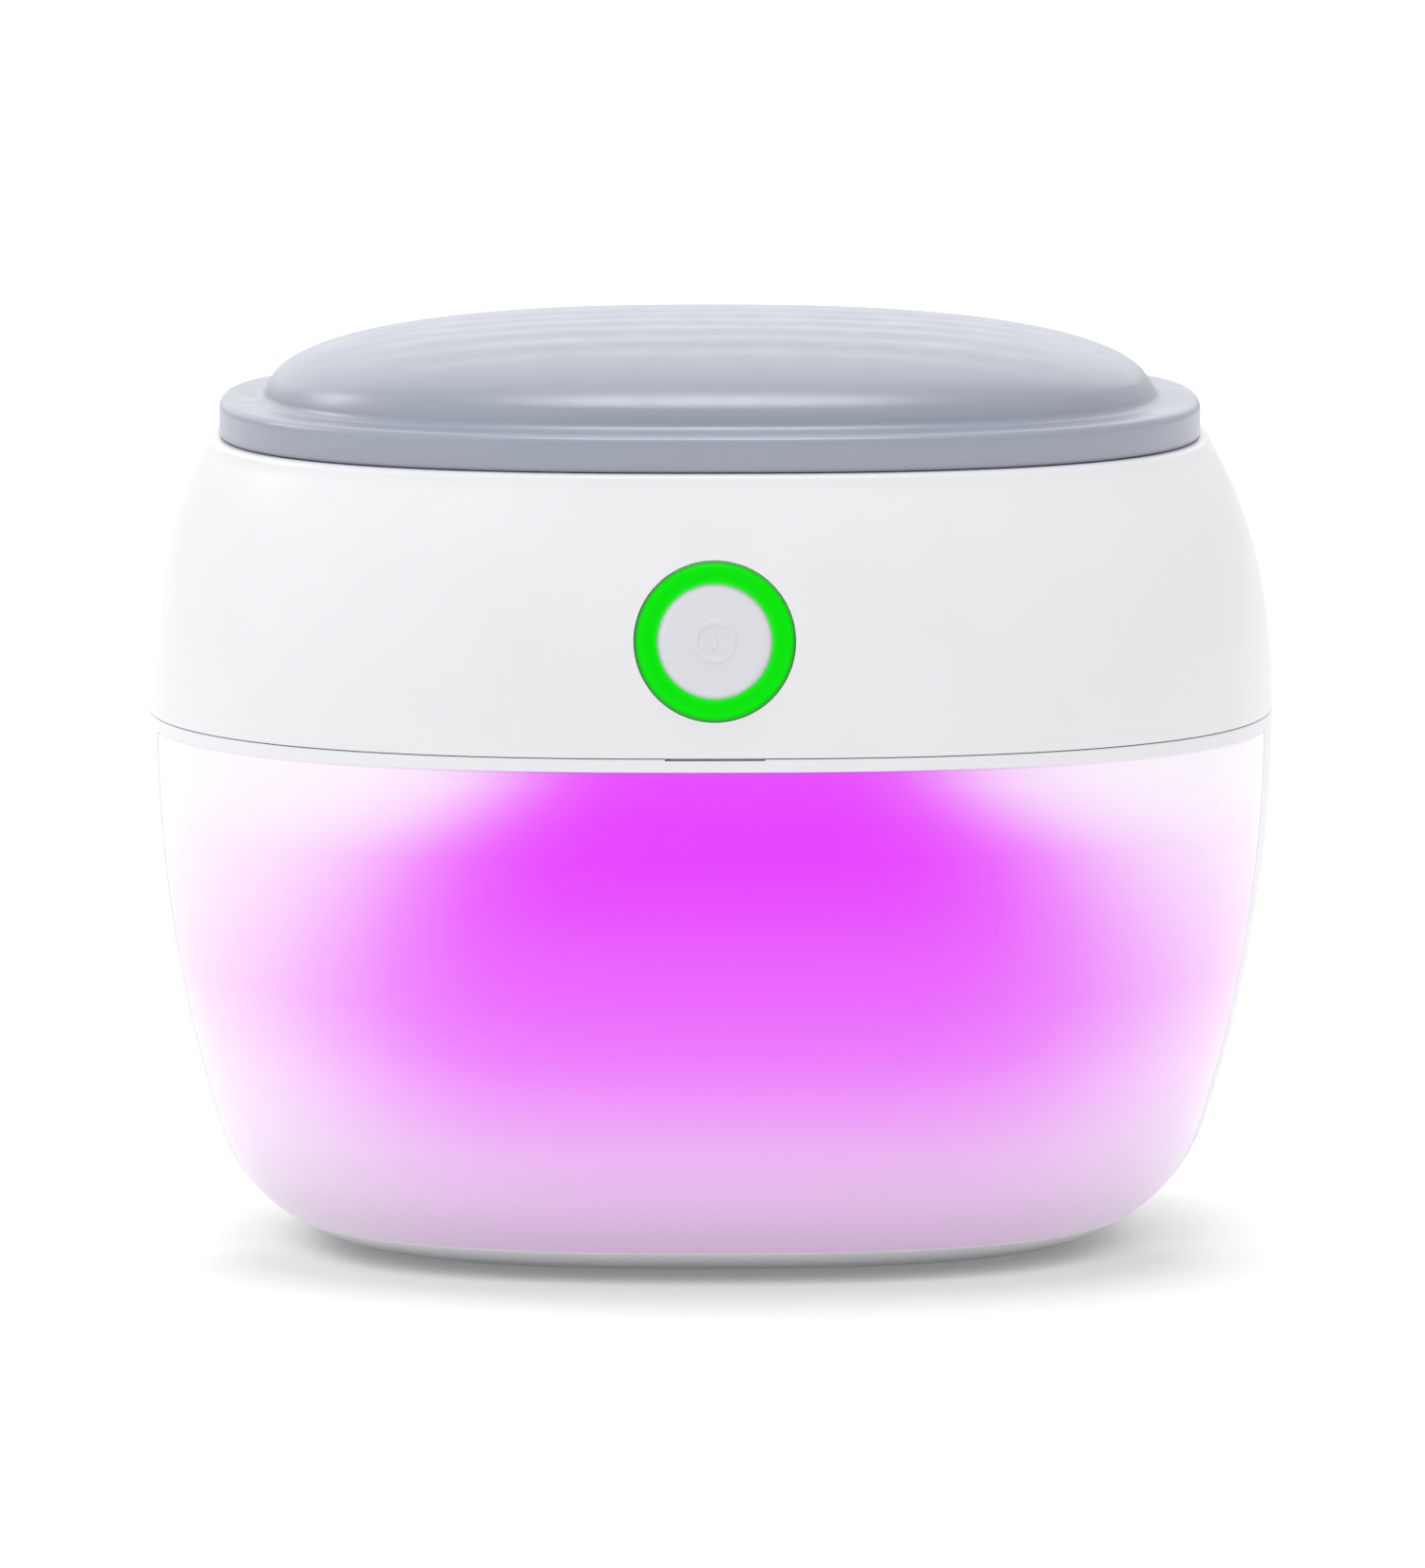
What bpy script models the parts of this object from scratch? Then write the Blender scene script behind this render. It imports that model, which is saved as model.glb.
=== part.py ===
"""Countertop ultrasonic and ultraviolet cleaner for dental aligners and brush heads.

A pillow-shaped white body in two halves stands on four rubber feet. The front of the lower half is a
wrap-round translucent window, lit from behind in violet. A clear basin hangs inside the body, with an
ultrasonic transducer under its floor. A lift-off grey lid with a flanged dome covers the basin, and a
round push button in a glowing green ring sits in the front wall.

Metres, +Z up. The front faces -Y, and the floor under the feet is z = 0.
"""

import math

import bmesh
import bpy
from mathutils import Matrix, Vector

OBJECT_NAME = "aligner_cleaner"

# Overall form
HALF_WIDTH = 0.065
DEPTH_INSET = 0.0105  # how much less the half depth is than the half width
PLAN_EXPONENT = 2.5  # of the superellipse that every level of the body follows
CIRCLE_EXPONENT = 2.0
BASE_Z = 0.001
SEAM_Z = 0.0625
DECK_Z = 0.0937
CLEARANCE = 0.0003
WALL = 0.0026

# Lower half: a side arc that runs into a tighter corner arc
SIDE_RADIUS = 0.157
CORNER_RADIUS = 0.021
CORNER_LOW_Z = 0.0004  # where the corner arc would end, if the base didn't cut it off level
SIDE_SWEEP = math.asin((SEAM_Z - CORNER_LOW_Z - CORNER_RADIUS) / (SIDE_RADIUS - CORNER_RADIUS))
INNER_FLOOR_Z = 0.0062

# Upper half: a superellipse in elevation, cut off level at the deck
UPPER_HEIGHT = 0.0568
UPPER_EXPONENT = 2.3
DECK_THICKNESS = 0.003
MOUTH_HALF_WIDTH = 0.0462
TONGUE_OUTER = 0.0620
TONGUE_WALL = 0.0014
TONGUE_BOTTOM_Z = 0.0585
TONGUE_STEP_Z = (0.0642, 0.0630)  # where the inner face leaves the wall, and where it meets the tongue
UPPER_OUTER_Z = (0.0700, 0.0770, 0.0840, 0.0890)
UPPER_INNER_Z = (0.0885, 0.0840, 0.0770, 0.0700)
DECK_EDGE_DROP = 0.0008
DECK_EDGE_INSET = 0.0006

# Window in the lower half
WINDOW_SIDE_ANGLE = math.radians(14.05)  # from the X axis, in the superellipse's parameter
WINDOW_TOP_Z = 0.0610
WINDOW_BOTTOM_Z = 0.0037
WINDOW_THICKNESS = 0.0014
WINDOW_LEDGE = 0.0020  # how far the housing reaches in behind the panel's edge
PRY_NOTCH = (0.0110, 0.0040, 0.0008)
PRY_NOTCH_DEPTH = 0.0012
CUTTER_OVERSHOOT = 0.0010  # how far a cutter reaches past the face that it cuts through

# Lid
FLANGE_HALF_WIDTH = 0.0566
FLANGE_THICKNESS = 0.0039
FLANGE_FILLET = 0.0010
FOOT_FILLET = 0.0014
DOME_HALF_WIDTH = 0.0512
DOME_HEIGHT = 0.0094
DOME_EXPONENT = 2.4
LID_WALL = 0.0020
LID_INNER_STEP = 0.0024  # from the lid's underside up to the foot of its inner face
LINER_RIM = 0.0489
LINER_PLUG = 0.0424
LINER_THICKNESS = 0.0017
LINER_BOTTOM_Z = 0.0885
LINER_DRAFT = 0.0004
LINER_CORNER = 0.0020
LINER_EDGE = 0.0010
GASKET_BAND = (0.0903, 0.0923)  # lowest and highest point of the groove in the plug
GASKET_GROOVE = 0.0010
GASKET_TAPER = 0.0008
MAGNET_RADIUS = 0.0030
MAGNET_THICKNESS = 0.0025
MAGNET_Y = -0.0245

# Basin
TANK_TOP = 0.0436
TANK_WALL = 0.0018
TANK_RIM_Z = 0.0934
TANK_FLANGE_Z = 0.0900
TANK_FLANGE = 0.0525
TANK_FOOT = 0.0398
TANK_FOOT_Z = 0.0440
TANK_FLOOR_Z = 0.0340
TANK_FLOOR_THICKNESS = 0.0020
TANK_FLOOR_WIDTH = 0.0345
TANK_HOLE_RADIUS = 0.0160
TANK_SCREW_WIDTH = 0.0500
TANK_SCREW_ANGLES = (50, 130, 230, 310)
TANK_CORNER_OUT = 0.0014  # how far the corner between wall and floor bulges, outward and down
TANK_CORNER_DOWN = 0.0024
TANK_FLOOR_EDGE = 0.0006
TANK_GASKET_INSET = 0.0004
TANK_GASKET_WIDTH = 0.0018

# Transducer
SEAL_THICKNESS = 0.0005
SEAL_INNER = 0.0168
SEAL_OUTER = 0.0192
PLATE_RADIUS = 0.0200
PLATE_THICKNESS = 0.0012
PIEZO_RADIUS = 0.0150
PIEZO_THICKNESS = 0.0030
CLAMP_INNER = 0.0165
CLAMP_OUTER = 0.0245
CLAMP_THICKNESS = 0.0016
TRANSDUCER_SCREW_RADIUS = 0.0222
TRANSDUCER_SCREW_ANGLES = (0, 120, 240)
TANK_BOSS_HEIGHT = 0.0024
TANK_BOSS_RADIUS = 0.0019
TANK_BOSS_ROOT = 0.0010  # how far the boss runs into the floor
TANK_BOSS_PILOT = 0.0012
TANK_BOSS_PILOT_ROOT = 0.0008
CLAMP_HOLE = 0.0012

# Button, on an axis square to the front wall. Heights are along that axis, outward positive.
BUTTON_Z = 0.0757
BUTTON_BORE = 0.0093
BUTTON_BORE_REACH = (-0.0080, 0.0060)
RING_OUTER = 0.00905
RING_INNER = 0.00655
RING_CREST = 0.00045
RING_SHOULDER = 0.0005
RING_SHOULDER_SHARE = 0.55
RING_FLANGE = 0.0106
RING_FLANGE_TOP = -0.0040
RING_SEAT = -0.0032  # where the cap's flange stops against the ring
RING_BACK = -0.0098
CAP_RADIUS = 0.0063
CAP_BEVEL = 0.0007
CAP_FACE = 0.0001
CAP_FLANGE = 0.0072
CAP_NOSE_RADIUS = 0.0020
CAP_NOSE = -0.0061
FLANGE_HEIGHT = 0.0009
CONTROL_BOARD = (0.0340, 0.0220, 0.0016)
CONTROL_BOARD_FRONT = -0.0120
CONTROL_BOSSES = ((-0.0140, 0.0), (0.0140, 0.0))
CONTROL_BOSS_RADIUS = 0.0022
CONTROL_PILOT_RADIUS = 0.0011
CONTROL_PILOT_FRONT = -0.0060
CONTROL_HOLE_RADIUS = 0.0012
SWITCH_SIZE = (0.0060, 0.0060, 0.0035)
PLUNGER_RADIUS = 0.0017
PLUNGER_LENGTH = 0.0032
PLUNGER_WELL = 0.0027
PLUNGER_WELL_GAP = 0.0002
RING_LED_RADIUS = 0.0084
RING_LED = (0.0016, 0.0016, 0.0008)
RING_LED_ANGLES = (45, 135, 225, 315)
LID_SENSOR = (0.0040, 0.0030, 0.0012)
LID_SENSOR_DROP = 0.0020  # below the board's top edge

# Ultraviolet lamps in front of the basin
UV_BOARD = (0.0440, 0.0010, 0.0070)
UV_BOARD_Y = -0.0359
UV_BOARD_Z = 0.0670
UV_LED = (0.0035, 0.0010, 0.0035)
UV_LED_PLACES = (-0.0130, 0.0, 0.0130)
UV_HOLDER_THICKNESS = 0.0012
UV_ARM_RADIUS = 0.0015
UV_ARM_PLACES = (-0.0080, 0.0080)
UV_ARM_DROP = -0.0075  # below the button's axis
UV_ARM_BACK = -0.0174

# Base
COVER_HALF_WIDTH = 0.0360
COVER_THICKNESS = 0.0027
LEDGE_HALF_WIDTH = 0.0320
COVER_SEGMENTS = 40
FOOT_RADIUS = 0.0045
FOOT_CHAMFER = 0.0006
FOOT_POCKET_SEGMENTS = 14
FOOT_POCKET_DEPTH = 0.0007
FOOT_TOP = 0.0004  # above the base plane
FOOT_PLACES = ((-0.0245, -0.0140), (0.0245, -0.0140), (-0.0245, 0.0140), (0.0245, 0.0140))
BASE_SCREW_PLACES = ((-0.0120, -0.0200), (0.0120, -0.0200), (-0.0120, 0.0200), (0.0120, 0.0200))
BASE_BOSS_TOP_Z = 0.0130
BASE_BOSS_RADIUS = 0.0034
BASE_BOSS_SEGMENTS = 10
BASE_HOLE_RADIUS = 0.0014
BASE_PILOT_ROOF = 0.0012
COUNTERBORE_RADIUS = 0.0027
COUNTERBORE_DEPTH = 0.0015
SCREW_HEAD_RECESS = 0.0012

# Driver board on posts of the base cover
DRIVER_BOARD = (0.0560, 0.0300, 0.0016)
DRIVER_BOARD_Z = 0.0107
CONNECTOR_HEIGHT = 0.0055
CONNECTORS = (
    ("transducer_connector", 0.0055, (-0.0020, -0.0105)),
    ("control_connector", 0.0080, (0.0100, -0.0105)),
    ("inlet_connector", 0.0060, (0.0190, 0.0110)),
)
TRANSFORMER = ((0.0150, 0.0130, 0.0110), (-0.0155, 0.0030))  # size, then place on the board
TRANSISTOR = ((0.0065, 0.0022, 0.0090), (0.0210, 0.0020))
HEAT_SINK = ((0.0120, 0.0020, 0.0120), (0.0210, -0.0010))
INDUCTOR_PLACE = (0.0005, 0.0060)
INDUCTOR_INNER = 0.0022
INDUCTOR_OUTER = 0.0050
INDUCTOR_HEIGHT = 0.0052
INDUCTOR_EDGE = 0.0007
CAPACITOR_PLACE = (0.0110, 0.0075)
CAPACITOR_RADIUS = 0.0040
CAPACITOR_HEIGHT = 0.0110
CAPACITOR_EDGE = 0.0004
POST_RADIUS = 0.0022
POST_ROOT = 0.0012
POST_PLACES = ((-0.0245, -0.0112), (0.0245, -0.0112), (-0.0245, 0.0112), (0.0245, 0.0112))

# Power inlet in the back wall
INLET_Z = 0.0460
INLET_RADIUS = 0.0043
INLET_BORE = 0.0029
INLET_BORE_REACH = (-0.0100, 0.0060)
INLET_PIN = 0.0009
INLET_BODY = 0.0055
INLET_FLOOR = -0.0090
INLET_DEPTH = 0.0130
INLET_RIM = 0.0002
INLET_EDGE = 0.0004
INLET_PIN_TOP = -0.0012
INLET_SHOULDER_GAP = 0.0008

# Screws: head radius, head height, shank radius, length under the head
BASE_SCREW = (0.0024, 0.0010, 0.0011, 0.0090)
TANK_SCREW = (0.0022, 0.0012, 0.0010, 0.0040)
TRANSDUCER_SCREW = (0.0019, 0.0011, 0.0009, 0.0046)
BOARD_SCREW = (0.0019, 0.0011, 0.0008, 0.0060)
TANK_PILOT_RADIUS = 0.0013
TANK_PILOT_DEPTH = 0.0020
TANK_HOLE_GAP = 0.0014  # radius of the flange's screw holes

# Wires. Each starts upright from its plug, bends through the middle points and ends square to what it joins.
WIRE_RADIUS = 0.0006
CABLE_RADIUS = 0.0009
WIRE_STRAIGHT = 0.0030
CABLE_STRAIGHT = 0.0035
WIRE_STARTS_X = {"red": -0.0036, "black": -0.0006}
WIRE_ENDS = {"red": (-0.0110, -0.0060), "black": (0.0060, -0.0070)}
INLET_CABLE_BEND = (0.0020, (0.0060, 0.0350), (0.0160, 0.0280, 0.0240))
CONTROL_CABLE_BENDS = ((0.0120, -0.0280, 0.0270), (0.0135, -0.0380, 0.0400), (0.0140, -0.0395, 0.0560))
CONTROL_CABLE_END = (0.0140, -0.0395, 0.0660)

# Mesh fineness
BODY_SEGMENTS = 48
RING_SEGMENTS = 32
BUTTON_SEGMENTS = 28
INLET_SEGMENTS = 16
SMALL_SEGMENTS = 16
SCREW_SEGMENTS = 8
LOWER_SIDE_STEPS = 4
LOWER_CORNER_STEPS = 5
CUTTER_ROWS = 5
CUTTER_COLUMNS = 15
LEAST_TURN = 0.02  # no two levels or plan angles of a shell are nearer than this, in radians

# name: colour, roughness, metallic
MATERIALS = {
    "shell_white": ((0.86, 0.86, 0.87, 1), 0.32, 0.0),
    "lid_grey": ((0.36, 0.40, 0.47, 1), 0.42, 0.0),
    "liner_white": ((0.80, 0.80, 0.81, 1), 0.35, 0.0),
    "window_violet": ((0.80, 0.35, 0.95, 1), 0.25, 0.0),
    "basin_clear": ((0.85, 0.90, 0.95, 1), 0.08, 0.0),
    "ring_green": ((0.0, 0.85, 0.02, 1), 0.30, 0.0),
    "button_grey": ((0.72, 0.73, 0.75, 1), 0.38, 0.0),
    "silicone": ((0.62, 0.64, 0.66, 1), 0.60, 0.0),
    "rubber": ((0.03, 0.03, 0.035, 1), 0.80, 0.0),
    "steel": ((0.62, 0.63, 0.64, 1), 0.28, 1.0),
    "zinc_screw": ((0.50, 0.51, 0.52, 1), 0.35, 1.0),
    "piezo_ceramic": ((0.55, 0.50, 0.42, 1), 0.55, 0.0),
    "board_green": ((0.02, 0.16, 0.07, 1), 0.45, 0.0),
    "black_plastic": ((0.025, 0.025, 0.03, 1), 0.50, 0.0),
    "ferrite": ((0.06, 0.06, 0.065, 1), 0.70, 0.0),
    "copper": ((0.70, 0.32, 0.14, 1), 0.35, 1.0),
    "aluminium": ((0.70, 0.71, 0.73, 1), 0.35, 1.0),
    "led_lens": ((0.85, 0.85, 0.92, 1), 0.12, 0.0),
    "magnet": ((0.55, 0.56, 0.58, 1), 0.22, 1.0),
    "wire_red": ((0.55, 0.02, 0.02, 1), 0.45, 0.0),
    "wire_black": ((0.02, 0.02, 0.02, 1), 0.45, 0.0),
    "connector_white": ((0.75, 0.74, 0.70, 1), 0.45, 0.0),
}


# --- Scene and finishing ---


def clear_scene():
    for obj in list(bpy.data.objects):
        bpy.data.objects.remove(obj, do_unlink=True)


def new_collection(name):
    collection = bpy.data.collections.new(name)
    bpy.context.scene.collection.children.link(collection)
    return collection


def make_material(name):
    colour, roughness, metallic = MATERIALS[name]
    material = bpy.data.materials.new(name)
    material.use_nodes = True
    shader = material.node_tree.nodes["Principled BSDF"]
    shader.inputs["Base Color"].default_value = colour
    shader.inputs["Roughness"].default_value = roughness
    shader.inputs["Metallic"].default_value = metallic
    material.diffuse_color = colour
    return material


clear_scene()
PARTS = new_collection(OBJECT_NAME)
CUTTERS = new_collection(OBJECT_NAME + "_cutters")
CUTTERS.hide_render = True
MADE_MATERIALS = {name: make_material(name) for name in MATERIALS}


def as_part(obj, name, material):
    """Names the object, gives it its material and puts it among the parts."""
    obj.name = name
    obj.data.name = name
    obj.data.materials.clear()
    obj.data.materials.append(MADE_MATERIALS[material])
    if obj.type == "MESH":
        obj.data.shade_smooth()
        obj.data.set_sharp_from_angle(angle=math.radians(35))
    move_to(obj, PARTS)
    return obj


def as_tool(obj, name):
    """Marks the object as a cutter or a piece to join."""
    obj.name = name
    obj.hide_render = True
    obj.display_type = "WIRE"
    move_to(obj, CUTTERS)
    return obj


def move_to(obj, collection):
    for held in list(obj.users_collection):
        held.objects.unlink(obj)
    collection.objects.link(obj)


def boolean(obj, tool, operation="DIFFERENCE"):
    modifier = obj.modifiers.new(tool.name, "BOOLEAN")
    modifier.operation = operation
    modifier.solver = "EXACT"
    modifier.object = tool


def object_from(mesh_maker, name):
    """Runs mesh_maker(bm) on a new mesh and returns its object."""
    bm = bmesh.new()
    mesh_maker(bm)
    mesh = bpy.data.meshes.new(name)
    bm.to_mesh(mesh)
    bm.free()
    obj = bpy.data.objects.new(name, mesh)
    PARTS.objects.link(obj)
    return obj


# --- Shapes ---


def box(name, size, centre):
    """A box of the given size, with its scale in its mesh."""

    def make(bm):
        bmesh.ops.create_cube(bm, size=1.0)
        bmesh.ops.scale(bm, vec=Vector(size), verts=bm.verts)

    obj = object_from(make, name)
    obj.location = centre
    return obj


def cylinder(name, radius, low, high, place=(0.0, 0.0), segments=SCREW_SEGMENTS):
    """An upright cylinder between two heights."""

    def make(bm):
        bmesh.ops.create_cone(
            bm, cap_ends=True, segments=segments, radius1=radius, radius2=radius, depth=high - low
        )

    obj = object_from(make, name)
    obj.location = (place[0], place[1], (low + high) / 2)
    return obj


def turned(name, profile, segments=RING_SEGMENTS, ring=False):
    """Turns (radius, height) points about Z. They run down the outer side; a ring's profile is closed."""
    mesh = bpy.data.meshes.new(name)
    points = [(radius, 0.0, height) for radius, height in profile]
    edges = [(i, i + 1) for i in range(len(points) - 1)]
    if ring:
        edges.append((len(points) - 1, 0))
    mesh.from_pydata(points, edges, [])
    obj = bpy.data.objects.new(name, mesh)
    PARTS.objects.link(obj)
    screw = obj.modifiers.new("Turn", "SCREW")
    screw.axis = "Z"
    screw.steps = segments
    screw.render_steps = segments
    screw.use_merge_vertices = True
    screw.merge_threshold = 0.00001
    return obj


def plan_point(half_width, half_depth, z, angle, exponent):
    """A point of a superellipse, at its parameter angle."""
    power = 2.0 / exponent
    c = math.cos(angle)
    s = math.sin(angle)
    x = half_width * math.copysign(abs(c) ** power, c)
    y = half_depth * math.copysign(abs(s) ** power, s)
    return Vector((x, y, z))


def level(half_width, z, half_depth=None, exponent=PLAN_EXPONENT):
    """One level of a loft. Without a half depth it is the body's own: the half width less the inset."""
    return (half_width, half_width - DEPTH_INSET if half_depth is None else half_depth, z, exponent)


def ring_points(one_level, count):
    half_width, half_depth, z, exponent = one_level
    angles = [math.tau * i / count for i in range(count)]
    return [plan_point(half_width, half_depth, z, angle, exponent) for angle in angles]


def loft(name, levels, closed, segments=BODY_SEGMENTS):
    """Skins rings at successive levels. A closed loft joins its last ring to its first; others are capped."""

    def make(bm):
        rings = [[bm.verts.new(p) for p in ring_points(one, segments)] for one in levels]
        pairs = list(zip(rings, rings[1:]))
        if closed:
            pairs.append((rings[-1], rings[0]))
        else:
            bm.faces.new(rings[0])
            bm.faces.new(rings[-1])
        for first, second in pairs:
            for i in range(segments):
                j = (i + 1) % segments
                bm.faces.new((first[i], first[j], second[j], second[i]))
        bmesh.ops.recalc_face_normals(bm, faces=bm.faces)

    return object_from(make, name)


def plan_angles(start, end):
    """The body's own plan angles between two limits, and the limits."""
    own = [math.tau * i / BODY_SEGMENTS for i in range(BODY_SEGMENTS)]
    return [start, *[a for a in own if start + LEAST_TURN < a < end - LEAST_TURN], end]


def even_angles(start, end, steps):
    return [start + (end - start) * i / steps for i in range(steps + 1)]


def patch(name, outer, inner, angles):
    """A curved panel: two lofted surfaces over the same plan angles, closed round their edges."""

    def make(bm):
        last = len(angles) - 1
        front, back = (
            [[bm.verts.new(plan_point(w, d, z, a, e)) for a in angles] for w, d, z, e in side]
            for side in (outer, inner)
        )
        for grid in (front, back):
            for above, below in zip(grid, grid[1:]):
                for c in range(last):
                    bm.faces.new((above[c], above[c + 1], below[c + 1], below[c]))
        for r in (0, -1):
            for c in range(last):
                bm.faces.new((front[r][c], front[r][c + 1], back[r][c + 1], back[r][c]))
        for r in range(len(outer) - 1):
            for c in (0, last):
                bm.faces.new((front[r][c], front[r + 1][c], back[r + 1][c], back[r][c]))
        bmesh.ops.recalc_face_normals(bm, faces=bm.faces)

    return object_from(make, name)


def wire(name, points, radius, material):
    """A round wire through the points, as a poly curve with filled caps."""
    curve = bpy.data.curves.new(name, "CURVE")
    curve.dimensions = "3D"
    curve.bevel_depth = radius
    curve.bevel_resolution = 2
    curve.use_fill_caps = True
    spline = curve.splines.new("POLY")
    spline.points.add(len(points) - 1)
    for point, place in zip(spline.points, points):
        point.co = (*place, 1.0)
    obj = bpy.data.objects.new(name, curve)
    PARTS.objects.link(obj)
    return as_part(obj, name, material)


def smooth_route(controls, steps=3):
    """Points of a Catmull-Rom curve through the control points."""
    knots = [Vector(c) for c in controls]
    knots = [2 * knots[0] - knots[1], *knots, 2 * knots[-1] - knots[-2]]
    route = []
    for a, b, c, d in zip(knots, knots[1:], knots[2:], knots[3:]):
        for i in range(steps):
            t = i / steps
            bend = 2 * a - 5 * b + 4 * c - d
            twist = 3 * b - a - 3 * c + d
            route.append(0.5 * (2 * b + (c - a) * t + bend * t * t + twist * t**3))
    return route + [knots[-2]]


def screw_piece(name, place, under_head, sizes):
    """A pan-head screw whose head bears upward at under_head, with its shank above."""
    head_radius, head_height, shank_radius, length = sizes
    profile = [(0.0, length), (shank_radius, length - shank_radius), (shank_radius, 0.0)]
    profile += [(head_radius, 0.0), (head_radius, -0.6 * head_height), (0.7 * head_radius, -head_height)]
    profile += [(0.0, -head_height)]
    obj = turned(name, profile, SCREW_SEGMENTS)
    obj.location = (*place, under_head)
    return as_part(obj, name, "zinc_screw")


# --- Profiles of the body ---


def upper_width(z):
    """Half width of the upper half's outer face."""
    share = (z - SEAM_Z) / UPPER_HEIGHT
    return HALF_WIDTH * (1.0 - share**UPPER_EXPONENT) ** (1.0 / UPPER_EXPONENT)


def lower_point(sweep, depth=0.0):
    """(half width, z) on the lower half's profile, depth under its outer face. sweep turns from 0 at the seam
    towards 90 degrees under the body."""
    if sweep <= SIDE_SWEEP:
        reach = SIDE_RADIUS - depth
        return (HALF_WIDTH - SIDE_RADIUS + reach * math.cos(sweep), SEAM_Z - reach * math.sin(sweep))
    centre = SIDE_RADIUS - CORNER_RADIUS
    centre_width = HALF_WIDTH - SIDE_RADIUS + centre * math.cos(SIDE_SWEEP)
    centre_z = SEAM_Z - centre * math.sin(SIDE_SWEEP)
    reach = CORNER_RADIUS - depth
    return (centre_width + reach * math.cos(sweep), centre_z - reach * math.sin(sweep))


def lower_sweep_at(z, depth=0.0):
    """The sweep at which the profile passes a height."""
    in_side = (SEAM_Z - z) / (SIDE_RADIUS - depth)
    if in_side <= math.sin(SIDE_SWEEP):
        return math.asin(in_side)
    centre_z = SEAM_Z - (SIDE_RADIUS - CORNER_RADIUS) * math.sin(SIDE_SWEEP)
    return math.asin((centre_z - z) / (CORNER_RADIUS - depth))


def sweeps_between(start, end):
    """The lower half's own sweeps between two limits, and the limits."""
    side = [SIDE_SWEEP * i / LOWER_SIDE_STEPS for i in range(LOWER_SIDE_STEPS)]
    corner_turn = lower_sweep_at(BASE_Z) - SIDE_SWEEP
    corner = [SIDE_SWEEP + corner_turn * i / LOWER_CORNER_STEPS for i in range(LOWER_CORNER_STEPS)]
    return [start, *[s for s in side + corner if start + LEAST_TURN < s < end - LEAST_TURN], end]


def lower_levels(start, end, depth):
    return [level(*lower_point(sweep, depth)) for sweep in sweeps_between(start, end)]


# --- Body ---


def make_upper_housing():
    inner_top = DECK_Z - DECK_THICKNESS
    edge_z = DECK_Z - DECK_EDGE_DROP
    levels = [level(upper_width(z), z) for z in (SEAM_Z + CLEARANCE / 2, *UPPER_OUTER_Z, edge_z)]
    levels += [level(upper_width(DECK_Z) - DECK_EDGE_INSET, DECK_Z)]
    levels += [level(MOUTH_HALF_WIDTH, DECK_Z), level(MOUTH_HALF_WIDTH, inner_top)]
    levels += [level(upper_width(inner_top) - WALL, inner_top)]
    levels += [level(upper_width(z) - WALL, z) for z in (*UPPER_INNER_Z, TONGUE_STEP_Z[0])]
    tongue_inner = TONGUE_OUTER - TONGUE_WALL
    levels += [level(tongue_inner, TONGUE_STEP_Z[1]), level(tongue_inner, TONGUE_BOTTOM_Z)]
    levels += [level(TONGUE_OUTER, TONGUE_BOTTOM_Z)]
    levels += [level(TONGUE_OUTER, SEAM_Z + CLEARANCE / 2)]
    housing = as_part(loft("upper_housing", levels, closed=True), "upper_housing", "shell_white")
    boss_end = CONTROL_BOARD_FRONT + CLEARANCE
    for number, (x, y) in enumerate(CONTROL_BOSSES, 1):
        boss = cylinder(f"control_boss_{number}", CONTROL_BOSS_RADIUS, boss_end, -WALL / 2, (x, y))
        boolean(housing, as_tool(on_button_axis(boss), f"control_boss_{number}"), "UNION")
        low = boss_end - CUTTER_OVERSHOOT
        pilot = cylinder(f"control_pilot_{number}", CONTROL_PILOT_RADIUS, low, CONTROL_PILOT_FRONT, (x, y))
        boolean(housing, as_tool(on_button_axis(pilot), f"control_pilot_{number}"))
    bore = cylinder("button_bore", BUTTON_BORE, *BUTTON_BORE_REACH, segments=BUTTON_SEGMENTS)
    boolean(housing, as_tool(on_button_axis(bore), "button_bore"))
    for number, (x, y) in enumerate(tank_screw_places(), 1):
        low = inner_top - CUTTER_OVERSHOOT
        pilot = cylinder(f"tank_pilot_{number}", TANK_PILOT_RADIUS, low, inner_top + TANK_PILOT_DEPTH, (x, y))
        boolean(housing, as_tool(pilot, f"tank_pilot_{number}"))
    return housing


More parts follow.
